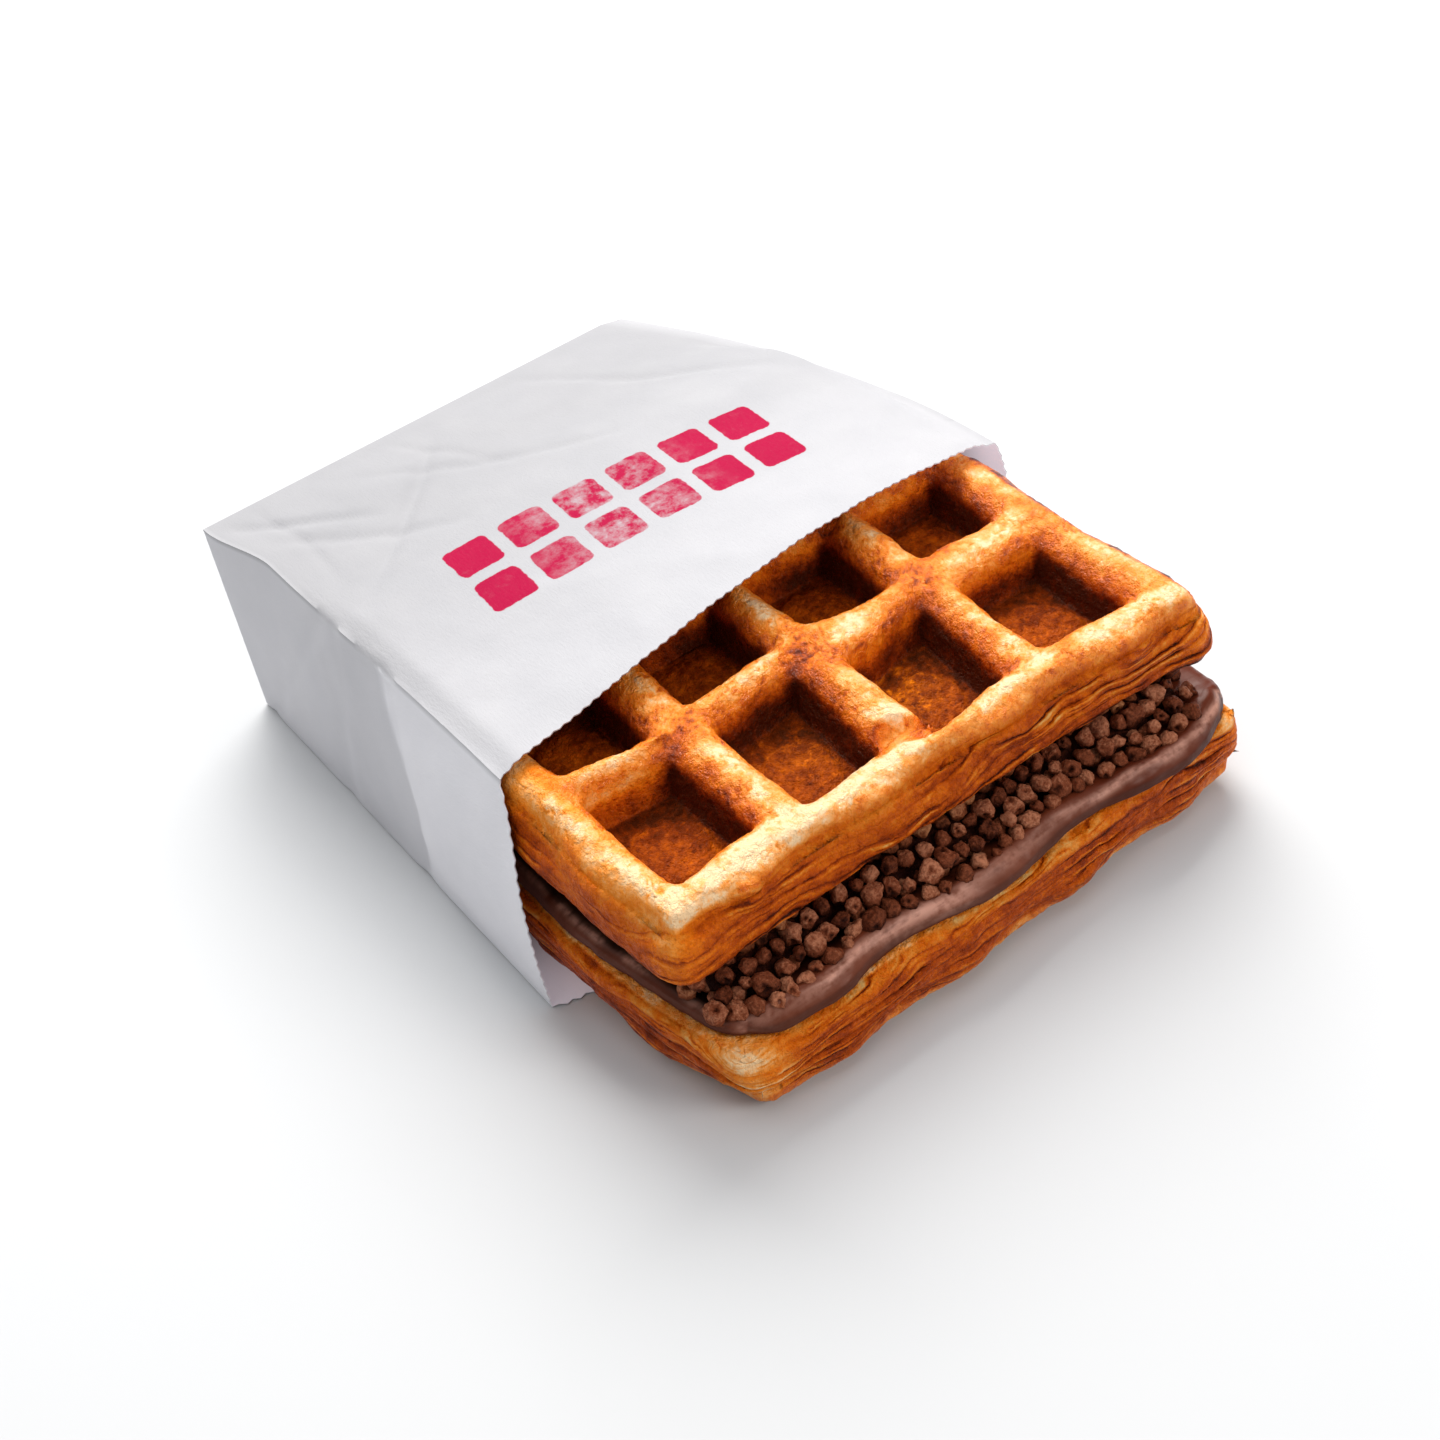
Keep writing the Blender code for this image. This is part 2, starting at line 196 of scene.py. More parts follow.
class Nodes:
    """Short calls for building a node tree."""

    def __init__(self, name):
        self.mat = bpy.data.materials.new(name)
        self.mat.use_nodes = True
        self.tree = self.mat.node_tree
        self.shader = self.tree.nodes["Principled BSDF"]

    def new(self, kind, **values):
        n = self.tree.nodes.new(kind)
        for k, v in values.items():
            setattr(n, k, v)
        return n

    def link(self, a, b):
        self.tree.links.new(a, b)

    def put(self, socket, value):
        if hasattr(value, "is_output") or isinstance(value, bpy.types.NodeSocket):
            self.link(value, socket)
        else:
            socket.default_value = value

    def attr(self, name, output="Fac"):
        return self.new("ShaderNodeAttribute", attribute_name=name).outputs[output]

    def coords(self, scale=(1.0, 1.0, 1.0)):
        tc = self.new("ShaderNodeTexCoord").outputs["Object"]
        m = self.new("ShaderNodeMapping")
        self.link(tc, m.inputs["Vector"])
        m.inputs["Scale"].default_value = scale
        return m.outputs["Vector"]

    def noise(self, scale, detail=4.0, rough=0.55, coords=None, distortion=0.0):
        n = self.new("ShaderNodeTexNoise")
        n.inputs["Scale"].default_value = scale
        n.inputs["Detail"].default_value = detail
        n.inputs["Roughness"].default_value = rough
        n.inputs["Distortion"].default_value = distortion
        self.link(coords if coords is not None else self.coords(), n.inputs["Vector"])
        return n.outputs["Fac"]

    def math(self, op, a, b=0.0, c=None, clamp=False):
        n = self.new("ShaderNodeMath", operation=op, use_clamp=clamp)
        self.put(n.inputs[0], a)
        self.put(n.inputs[1], b)
        if c is not None:
            self.put(n.inputs[2], c)
        return n.outputs[0]

    def remap(self, value, a, b, c, d):
        n = self.new("ShaderNodeMapRange")
        self.put(n.inputs["Value"], value)
        for k, x in zip(("From Min", "From Max", "To Min", "To Max"), (a, b, c, d)):
            n.inputs[k].default_value = x
        return n.outputs["Result"]

    def ramp(self, value, stops):
        n = self.new("ShaderNodeValToRGB")
        e = n.color_ramp.elements
        while len(e) > 1:
            e.remove(e[-1])
        e[0].position, e[0].color = stops[0][0], (*stops[0][1], 1.0)
        for pos, col in stops[1:]:
            x = e.new(pos)
            x.color = (*col, 1.0)
        self.put(n.inputs["Fac"], value)
        return n.outputs["Color"]

    def mix(self, fac, a, b, blend="MIX"):
        n = self.new("ShaderNodeMix", data_type="RGBA", blend_type=blend)
        self.put(n.inputs[0], fac)
        self.put(n.inputs[6], a if not isinstance(a, tuple) else (*a, 1.0))
        self.put(n.inputs[7], b if not isinstance(b, tuple) else (*b, 1.0))
        return n.outputs[2]

    def bump(self, height, distance, strength=1.0, normal=None):
        n = self.new("ShaderNodeBump")
        n.inputs["Strength"].default_value = strength
        n.inputs["Distance"].default_value = distance
        self.put(n.inputs["Height"], height)
        if normal is not None:
            self.link(normal, n.inputs["Normal"])
        return n.outputs["Normal"]

    def set(self, **values):
        for k, v in values.items():
            self.put(self.shader.inputs[k.replace("_", " ")], v)
        return self.mat


CRUST = [
    (0.00, (1.00, 0.675, 0.38)),
    (0.12, (1.00, 0.462, 0.150)),
    (0.24, (0.96, 0.312, 0.038)),
    (0.38, (0.85, 0.192, 0.0050)),
    (0.52, (0.62, 0.107, 0.0026)),
    (0.66, (0.38, 0.054, 0.0014)),
    (0.82, (0.17, 0.0175, 0.0006)),
    (1.00, (0.05, 0.0052, 0.0005)),
]


def crust_material(name, shift=0.0, contrast=1.0):
    n = Nodes(name)
    bake_and_painted_light, flank, phase = n.attr("bake_and_painted_light"), n.attr("flank"), n.attr("phase")
    co = n.coords()
    coarse = n.noise(360.0, 5.0, 0.62, co)
    fine = n.noise(1300.0, 4.0, 0.62, co, 0.4)
    grain = n.noise(3600.0, 2.0, 0.5, co)
    specks = n.noise(1150.0, 3.0, 0.55, co, 0.6)
    xyz = n.new("ShaderNodeSeparateXYZ")
    n.link(n.new("ShaderNodeTexCoord").outputs["Object"], xyz.inputs[0])
    # thin layers along the sides: lines where the phase passes a whole number
    ph = n.math("MULTIPLY_ADD", n.math("SUBTRACT", fine, 0.5), 0.26, phase)

    def layer_noise(number, along, seed, detail=3.0):
        c = n.new("ShaderNodeCombineXYZ")
        n.link(n.math("MULTIPLY", xyz.outputs[0], along), c.inputs[0])
        n.link(n.math("MULTIPLY", xyz.outputs[1], along), c.inputs[1])
        n.link(n.math("MULTIPLY_ADD", number, seed, 0.5), c.inputs[2])
        return n.noise(1.0, detail, 0.6, c.outputs[0])

    def lines(value, width, along, seed, lo, hi):
        lam = n.math("FRACT", value)
        near = n.math("MINIMUM", lam, n.math("SUBTRACT", 1.0, lam))
        nearest = n.math("FLOOR", n.math("ADD", value, 0.5))
        there = n.remap(layer_noise(nearest, along, seed), lo, hi, 0.0, 1.0)
        line = n.remap(near, 0.0, width, 1.0, 0.0)
        lip = n.math("MULTIPLY", n.remap(lam, width * 0.7, width * 1.5, 0.0, 1.0), n.remap(lam, width * 1.6, width * 3.4, 1.0, 0.0))
        return n.math("MULTIPLY", n.math("MULTIPLY", line, line), there), n.math("MULTIPLY", lip, there), lam

    deep_lines, deep_lip, lam = lines(ph, 0.15, 85.0, 3.7, 0.44, 0.56)
    ph3 = n.math("MULTIPLY", ph, 2.83)
    thin_lines, thin_lip, lam3 = lines(ph3, 0.26, 140.0, 2.3, 0.48, 0.62)
    tone = n.math("SUBTRACT", layer_noise(n.math("FLOOR", ph), 75.0, 5.3), 0.5)
    tone3 = n.math("SUBTRACT", layer_noise(n.math("FLOOR", ph3), 110.0, 4.1), 0.5)
    # the bake attribute holds browning with painted shade and painted highlights mixed in
    b = n.math("ADD", bake_and_painted_light, shift)
    wet = n.attr("wet")
    b = n.math("MULTIPLY_ADD", n.math("SUBTRACT", coarse, 0.5), n.math("MULTIPLY_ADD", wet, 0.85, 0.24), b)
    blotch = n.remap(n.noise(700.0, 3.0, 0.5, co, 0.15), 0.40, 0.60, -0.5, 0.5)
    b = n.math("MULTIPLY_ADD", blotch, n.math("MULTIPLY_ADD", wet, 0.16, 0.06), b)
    b = n.math("MULTIPLY_ADD", n.math("SUBTRACT", fine, 0.5), n.math("MULTIPLY_ADD", n.attr("crumb"), -0.16, 0.32), b)
    b = n.math("MULTIPLY_ADD", n.math("SUBTRACT", grain, 0.5), 0.11, b)
    crumbs = n.remap(n.noise(760.0, 4.0, 0.62, co, 0.3), 0.52, 0.68, 0.0, 1.0)
    b = n.math("MULTIPLY_ADD", n.math("MULTIPLY", crumbs, n.attr("crumb")), -0.20, b)
    b = n.math("MULTIPLY_ADD", n.remap(specks, 0.60, 0.74, 0.0, 0.15), n.math("SUBTRACT", 1.0, flank), b)
    # dark layer lines: partly browner crust, partly painted shade in the grooves; the lighter band beside each line is
    # a painted highlight on the flake edge
    layers = n.math("MULTIPLY_ADD", deep_lines, 0.38 * contrast, n.math("MULTIPLY", thin_lines, 0.17 * contrast))
    layers = n.math("MULTIPLY_ADD", deep_lip, -0.24 * contrast, layers)
    layers = n.math("MULTIPLY_ADD", thin_lip, -0.12 * contrast, layers)
    layers = n.math("MULTIPLY_ADD", tone, 0.42 * contrast, layers)
    layers = n.math("MULTIPLY_ADD", tone3, 0.34 * contrast, layers)
    layers = n.math("MULTIPLY_ADD", n.math("SUBTRACT", lam, 0.5), 0.08, layers)
    b = n.math("MULTIPLY_ADD", layers, flank, b, clamp=True)
    # side faces take a darker, warmer colour: partly browner crust, partly painted shade
    colour = n.mix(n.attr("side_tint_and_shade"), n.ramp(b, CRUST), (0.735, 0.595, 0.33), "MULTIPLY")
    colour = n.mix(n.attr("crumb"), colour, (0.96, 1.30, 0.60), "MULTIPLY")
    height = n.math("MULTIPLY_ADD", fine, 0.6, n.math("MULTIPLY", coarse, 0.9))
    height = n.math("MULTIPLY_ADD", grain, 0.26, height)
    height = n.math("MULTIPLY_ADD", blotch, -0.16, height)
    cut = n.math("MULTIPLY_ADD", deep_lines, -0.55, n.math("MULTIPLY", thin_lines, -0.24))
    cut = n.math("MULTIPLY_ADD", deep_lip, 0.22, cut)
    height = n.math("MULTIPLY_ADD", cut, flank, height)
    normal = n.bump(height, 0.0012, 0.85)
    return n.set(
        Base_Color=colour,
        Roughness=n.remap(coarse, 0.35, 0.65, 0.34, 0.55),
        Normal=normal,
        Specular_IOR_Level=0.11,
        Specular_Tint=(1.0, 0.60, 0.22, 1.0),
        Coat_Weight=n.math("MULTIPLY", wet, 1.7),
        Coat_Roughness=0.20,
        Coat_Normal=normal,
    )


def spread_material():
    n = Nodes("chocolate_spread_gloss")
    co = n.coords()
    soft = n.noise(160.0, 3.0, 0.5, co)
    fine = n.noise(900.0, 3.0, 0.5, co)
    tone = n.math("MULTIPLY_ADD", n.math("SUBTRACT", soft, 0.5), 0.9, 0.5, clamp=True)
    colour = n.ramp(tone, [(0.0, (0.070, 0.0125, 0.0040)), (0.5, (0.125, 0.0268, 0.0104)), (1.0, (0.190, 0.048, 0.023))])
    # the tint holds painted shade under the upper waffle, at the lip's foot and beside the left edge, and a darker,
    # redder tone towards the right
    colour = n.mix(1.0, colour, n.attr("tint", "Color"), "MULTIPLY")
    flow = n.noise(620.0, 3.0, 0.55, n.coords((0.16, 1.0, 1.0)))
    # painted highlight: a pale lilac sheen along the lip's crown and its left edge
    painted_highlight = n.math("MULTIPLY", n.attr("crest"), n.remap(n.math("MULTIPLY_ADD", flow, 0.6, n.math("MULTIPLY", fine, 0.4)), 0.36, 0.56, 0.20, 1.0))
    colour = n.mix(painted_highlight, colour, (0.60, 0.305, 0.225))
    rough = n.remap(fine, 0.3, 0.7, 0.33, 0.42)
    normal = n.bump(n.math("MULTIPLY_ADD", fine, 0.05, n.math("MULTIPLY_ADD", flow, 0.30, soft)), 0.0008, 0.5)
    return n.set(Base_Color=colour, Roughness=rough, Normal=normal, Specular_IOR_Level=0.22, Specular_Tint=(1.0, 0.76, 0.68, 1.0))


def pearl_material():
    n = Nodes("crunch_pearl_coat")
    co = n.coords()
    tone = n.attr("tone")
    pit_shade = n.attr("pit_shade")
    fine = n.noise(1800.0, 4.0, 0.6, co)
    t = n.math("MULTIPLY_ADD", n.math("SUBTRACT", fine, 0.5), 1.0, tone)
    # painted shade: darker inside the pits
    t = n.math("MULTIPLY_ADD", pit_shade, -0.55, t, clamp=True)
    colour = n.ramp(t, [(0.0, (0.018, 0.0028, 0.0009)), (0.3, (0.061, 0.0114, 0.0036)), (0.65, (0.222, 0.056, 0.0225)), (1.0, (0.52, 0.200, 0.105))])
    # painted reflected light: pearls under the upper waffle are tinted olive
    painted_bounce_tint = n.mix(n.math("MULTIPLY", n.attr("painted_bounce_tint"), 0.75), (1.0, 1.0, 1.0), (1.05, 1.30, 0.62))
    colour = n.mix(1.0, colour, painted_bounce_tint, "MULTIPLY")
    normal = n.bump(fine, 0.0010, 0.8)
    return n.set(Base_Color=colour, Roughness=0.45, Normal=normal, Specular_IOR_Level=0.08)


def paper_material():
    n = Nodes("white_paper_sheet")
    co = n.coords()
    fibre = n.noise(2600.0, 4.0, 0.65, n.coords((1.0, 0.35, 1.0)))
    cloud = n.noise(90.0, 4.0, 0.55, co)
    tone = n.math("MULTIPLY_ADD", n.math("SUBTRACT", cloud, 0.5), 0.80, 0.5)
    tone = n.math("MULTIPLY_ADD", n.math("SUBTRACT", fibre, 0.5), 0.25, tone, clamp=True)
    paper = n.ramp(tone, [(0.0, (0.379, 0.380, 0.399)), (0.5, (0.413, 0.410, 0.429)), (1.0, (0.445, 0.441, 0.455))])
    # a plain block of rounded squares, printed on the top sheet
    uv = n.attr("print_mm", "Vector")
    sep = n.new("ShaderNodeSeparateXYZ")
    n.link(uv, sep.inputs[0])
    px, py, on = sep.outputs[0], sep.outputs[1], sep.outputs[2]
    pitch, half, corner = 10.6, 4.1, 1.3
    wx = n.math("SUBTRACT", n.math("MODULO", n.math("ADD", px, 1060.0), pitch), pitch / 2)
    wy = n.math("SUBTRACT", n.math("MODULO", n.math("ADD", py, 1060.0), pitch), pitch / 2)
    qx = n.math("MAXIMUM", n.math("SUBTRACT", n.math("ABSOLUTE", wx), half - corner), 0.0)
    qy = n.math("MAXIMUM", n.math("SUBTRACT", n.math("ABSOLUTE", wy), half - corner), 0.0)
    dist = n.math("SQRT", n.math("ADD", n.math("MULTIPLY", qx, qx), n.math("MULTIPLY", qy, qy)))
    wobble = n.math("MULTIPLY", n.math("SUBTRACT", n.noise(900.0, 2.0, 0.5, co), 0.5), 0.5)
    inside = n.remap(n.math("ADD", dist, wobble), corner - 0.10, corner + 0.10, 1.0, 0.0)
    in_x = n.math("LESS_THAN", n.math("ABSOLUTE", px), 3 * pitch)
    in_y = n.math("LESS_THAN", n.math("ABSOLUTE", py), 1 * pitch)
    mask = n.math("MULTIPLY", n.math("MULTIPLY", inside, n.math("MULTIPLY", in_x, in_y)), on)
    worn = n.noise(330.0, 5.0, 0.7, co)
    middle = n.remap(n.math("ABSOLUTE", n.math("ADD", px, 3.0)), 4.0, 20.0, 1.0, 0.0)
    ink_loss = n.math("MULTIPLY", n.remap(worn, 0.42, 0.66, 0.0, 0.75), middle)
    ink_loss = n.math("ADD", ink_loss, n.remap(worn, 0.58, 0.75, 0.0, 0.06))
    mask = n.math("MULTIPLY", mask, n.math("SUBTRACT", 1.0, ink_loss))
    # the tint holds the sheets' painted shade and light
    paper = n.mix(1.0, paper, n.attr("tint", "Color"), "MULTIPLY")
    colour = n.mix(mask, paper, (0.352, 0.0003, 0.040))
    normal = n.bump(n.math("MULTIPLY_ADD", fibre, 0.5, n.math("MULTIPLY", cloud, 1.0)), 0.00035, 0.45)
    # painted light: the emission is the glow on the inside at the mouth
    return n.set(Base_Color=colour, Roughness=n.remap(fibre, 0.3, 0.7, 0.55, 0.70), Normal=normal, Specular_IOR_Level=0.05, Emission_Color=n.attr("glow", "Color"), Emission_Strength=1.0)


# ---------------------------------------------------------------- waffles


def pocket_inside(x, y, corner=2.2):
    """How far a point lies inside the nearest pocket's rounded opening, below zero on the ribs."""
    best = np.full(np.shape(x), -99.0)
    centre = np.zeros(np.shape(x) + (4,))
    for a, b in COLUMNS:
        for c, d in ROWS:
            cx, cy, hx, hy = (a + b) / 2, (c + d) / 2, (b - a) / 2, (d - c) / 2
            qx, qy = np.abs(x - cx) - hx + corner, np.abs(y - cy) - hy + corner
            dist = np.hypot(np.maximum(qx, 0), np.maximum(qy, 0)) + np.minimum(np.maximum(qx, qy), 0) - corner
            nearer = -dist > best
            best = np.where(nearer, -dist, best)
            centre[..., 0] = np.where(nearer, x - cx, centre[..., 0])
            centre[..., 1] = np.where(nearer, y - cy, centre[..., 1])
            centre[..., 2] = np.where(nearer, hx, centre[..., 2])
            centre[..., 3] = np.where(nearer, hy, centre[..., 3])
    return best, centre


def line_spacing(pockets, low, high, coarse_from=99.0, scale=1.0):
    def spacing(v):
        h = np.full(v.shape, 0.46)
        for a, b in pockets:
            h = np.where((v > a) & (v < b), 0.66, h)
            h = np.where((v > a - 0.4) & (v < a + 2.7), 0.235, h)
            h = np.where((v < b + 0.4) & (v > b - 2.7), 0.235, h)
        d = np.minimum(v - low, high - v)
        arc = 0.44 * np.sqrt(np.clip(1 - (1 - d / EDGE) ** 2, 0, 1)) + 0.03
        h = np.where(d < EDGE, np.minimum(h, arc), h)
        h = np.where(v > coarse_from, h * 1.7, h)
        return h * scale

    return spacing


def round_plan(x, y):
    r = np.where(y > 0, BACK_RADIUS, FRONT_RADIUS)
    dx = np.abs(x) - (HALF_WIDTH - r)
    dy = np.where(y > 0, y - (BACK - r), (FRONT + r) - y)
    inside = (dx > 0) & (dy > 0)
    k = np.where(inside, np.maximum(dx, dy) / np.maximum(np.hypot(dx, dy), 1e-9), 1.0)
    x2 = np.sign(x) * (HALF_WIDTH - r + dx * k)
    y2 = np.where(y > 0, BACK - r + dy * k, FRONT + r - dy * k)
    return np.where(inside, x2, x), np.where(inside, y2, y)


def upper_outline(x, y, down):
    u = x / HALF_WIDTH
    front = ramp(-12.0, FRONT, y)
    yf = y + front * (1.7 * (1.0 - np.minimum(1.0, np.abs(u)) ** 3) - 0.9 * ramp(42.0, 53.0, x))
    xr = x + 2.4 * ramp(-12.0, -30.0, yf) * np.abs(u) ** 3
    xl = x + 1.6 * ramp(-8.0, -33.0, yf) * np.abs(u) ** 3
    br = x - 2.6 * (y / 40.0) ** 2 * u
    bl = x - 0.6 * ramp(0.0, 12.0, y) * down * u
    xx = np.where(y < 0, np.where(x > 0, xr, xl), np.where(x > 0, br, bl))
    return xx, np.where(y < 0, yf, y)


def lower_left(y):
    return -54.6 + 6.5 * (np.maximum(0.0, -y) / 42.0) ** 2.5


def lower_outline(x, y, down):
    out = 10.0 - 0.05 * np.maximum(0.0, x + 10.0)
    y2 = y - out
    y2 = y2 - 2.2 * (1.0 - down) * ramp(-18.0, -40.0, y2)
    left = lower_left(y2) + 1.4 * (1.0 - down)
    right = 58.4 - 4.0 * ramp(-30.0, 20.0, y2)
    return lerp(left, right, (x + HALF_WIDTH) / (2 * HALF_WIDTH)), y2


# Where the open pockets of the upper waffle really have their corners: (left, right, front, back) of the plain grid
# goes to these points. The rest of the grid follows.
WARP_X = [-52.5, -45.6, -28.3, -22.1, -4.0, 2.4, 21.1, 27.0, 44.6, 52.5]
WARP_Y = [-33.4, -26.9, -3.6, 1.9, 20.2, 26.4, 43.2, 50.0]
WARP_TO = {
    (-45.6, -3.6): (-46.3, -2.5), (-28.3, -3.6): (-28.8, -3.3), (-28.3, -26.9): (-28.3, -24.9), (-45.6, -26.9): (-45.3, -26.0),
    (-22.1, -3.6): (-22.3, -3.4), (-4.0, -3.6): (-3.5, -1.6), (-4.0, -26.9): (-4.9, -25.0), (-22.1, -26.9): (-21.6, -26.4),
    (2.4, -3.6): (2.4, -5.8), (21.1, -3.6): (21.8, -2.7), (21.1, -26.9): (20.1, -25.4), (2.4, -26.9): (3.0, -26.9),
    (27.0, -3.6): (26.6, -4.3), (44.6, -3.6): (45.3, -4.6), (44.6, -26.9): (46.0, -26.3), (27.0, -26.9): (26.4, -24.9),
    (-45.6, 1.9): (-45.8, 1.7), (-28.3, 1.9): (-29.2, 0.0), (-22.1, 1.9): (-22.4, 1.5), (-4.0, 1.9): (-3.6, 3.0),
    (2.4, 1.9): (3.0, 3.0), (21.1, 1.9): (20.4, 1.9), (27.0, 1.9): (27.2, 3.2), (44.6, 1.9): (44.0, 2.8),
    (-28.3, 20.2): (-28.8, 19.8), (-22.1, 20.2): (-21.9, 20.4), (-4.0, 20.2): (-3.6, 19.9), (2.4, 20.2): (1.9, 20.6),
}


def warp(x, y):
    """Moves the plain grid so that the pockets' corners lie where they are seen."""
    wx, wy = np.array(WARP_X), np.array(WARP_Y)
    dx = np.zeros((len(wx), len(wy)))
    dy = np.zeros((len(wx), len(wy)))
    for i, a in enumerate(WARP_X):
        for j, b in enumerate(WARP_Y):
            if (a, b) in WARP_TO:
                ox, oy = upper_outline(np.array(a), np.array(b), 0.1)
                dx[i, j], dy[i, j] = WARP_TO[(a, b)][0] - ox, WARP_TO[(a, b)][1] - oy
            elif 0 < i < len(wx) - 1 and 0 < j < len(wy) - 1:
                dx[i, j], dy[i, j] = 0.5 * math.sin(5 * i + 3 * j), 0.5 * math.sin(3 * i - 7 * j)
    i = np.clip(np.searchsorted(wx, x) - 1, 0, len(wx) - 2)
    j = np.clip(np.searchsorted(wy, y) - 1, 0, len(wy) - 2)
    u = np.clip((x - wx[i]) / (wx[i + 1] - wx[i]), 0, 1)
    v = np.clip((y - wy[j]) / (wy[j + 1] - wy[j]), 0, 1)
    u, v = u * u * (3 - 2 * u), v * v * (3 - 2 * v)

    def blend(t):
        return (t[i, j] * (1 - u) + t[i + 1, j] * u) * (1 - v) + (t[i, j + 1] * (1 - u) + t[i + 1, j + 1] * u) * v

    return blend(dx), blend(dy)


# Bands of the upper crust painted pale, partly paler crust and partly painted highlight: points, half width, how much
PALE_AND_HIGHLIGHT_BANDS = [
    ([(-46.5, -30.6), (-38.1, -28.9), (-30.0, -27.9), (-22.7, -28.2), (-15.2, -28.2), (-7.9, -27.2), (-3.3, -26.8)], 2.8, 0.43),
    ([(11.4, -28.9), (17.9, -27.8), (25.6, -27.2)], 1.7, 0.26),
    ([(33.0, -28.3), (38.6, -28.4), (45.4, -28.4), (51.0, -29.8)], 2.0, 0.30),
    ([(-51.0, 2.3), (-50.6, -4.8), (-49.9, -14.2), (-49.3, -23.3), (-49.0, -29.5)], 2.0, 0.10),
    ([(49.8, 12.9), (49.8, 6.0)], 2.2, 0.14),
    ([(50.0, -12.0), (49.9, -22.0)], 2.4, 0.14),
    ([(-44.0, -1.0), (-40.0, -0.9), (-34.0, -1.3)], 1.6, 0.18),
    ([(-19.9, -0.3), (-13.9, -0.8), (-6.0, 0.2)], 1.4, 0.11),
    ([(4.9, -3.0), (9.8, -1.5)], 2.4, 0.30),
    ([(30.1, -1.0), (36.2, -1.6), (43.0, -0.6)], 2.2, 0.16),
    ([(-25.0, -8.6), (-24.8, -17.5), (-24.6, -25.1)], 1.8, 0.18),
    ([(-0.2, -11.1), (-0.4, -18.2), (0.0, -21.4)], 1.8, 0.18),
    ([(24.2, -10.7), (24.0, -16.1), (23.6, -24.6)], 1.8, 0.15),
    ([(-25.0, 4.0), (-25.0, 12.0)], 1.6, 0.14), ([(-0.6, 6.0), (-0.6, 15.0)], 1.6, 0.14), ([(24.0, 6.0), (24.0, 15.0)], 1.6, 0.12),
]


def near_band(x, y, points):
    """Distance from a line of points."""
    best = np.full(np.shape(x), 1e9)
    for (ax, ay), (bx, by) in zip(points[:-1], points[1:]):
        dx, dy = bx - ax, by - ay
        k = np.clip(((x - ax) * dx + (y - ay) * dy) / (dx * dx + dy * dy), 0, 1)
        best = np.minimum(best, np.hypot(x - ax - k * dx, y - ay - k * dy))
    return best


CROSSINGS = [(-25.2, -0.8), (-0.8, -0.8), (24.0, -0.8), (-25.2, 23.3), (-0.8, 23.3), (24.0, 23.3)]


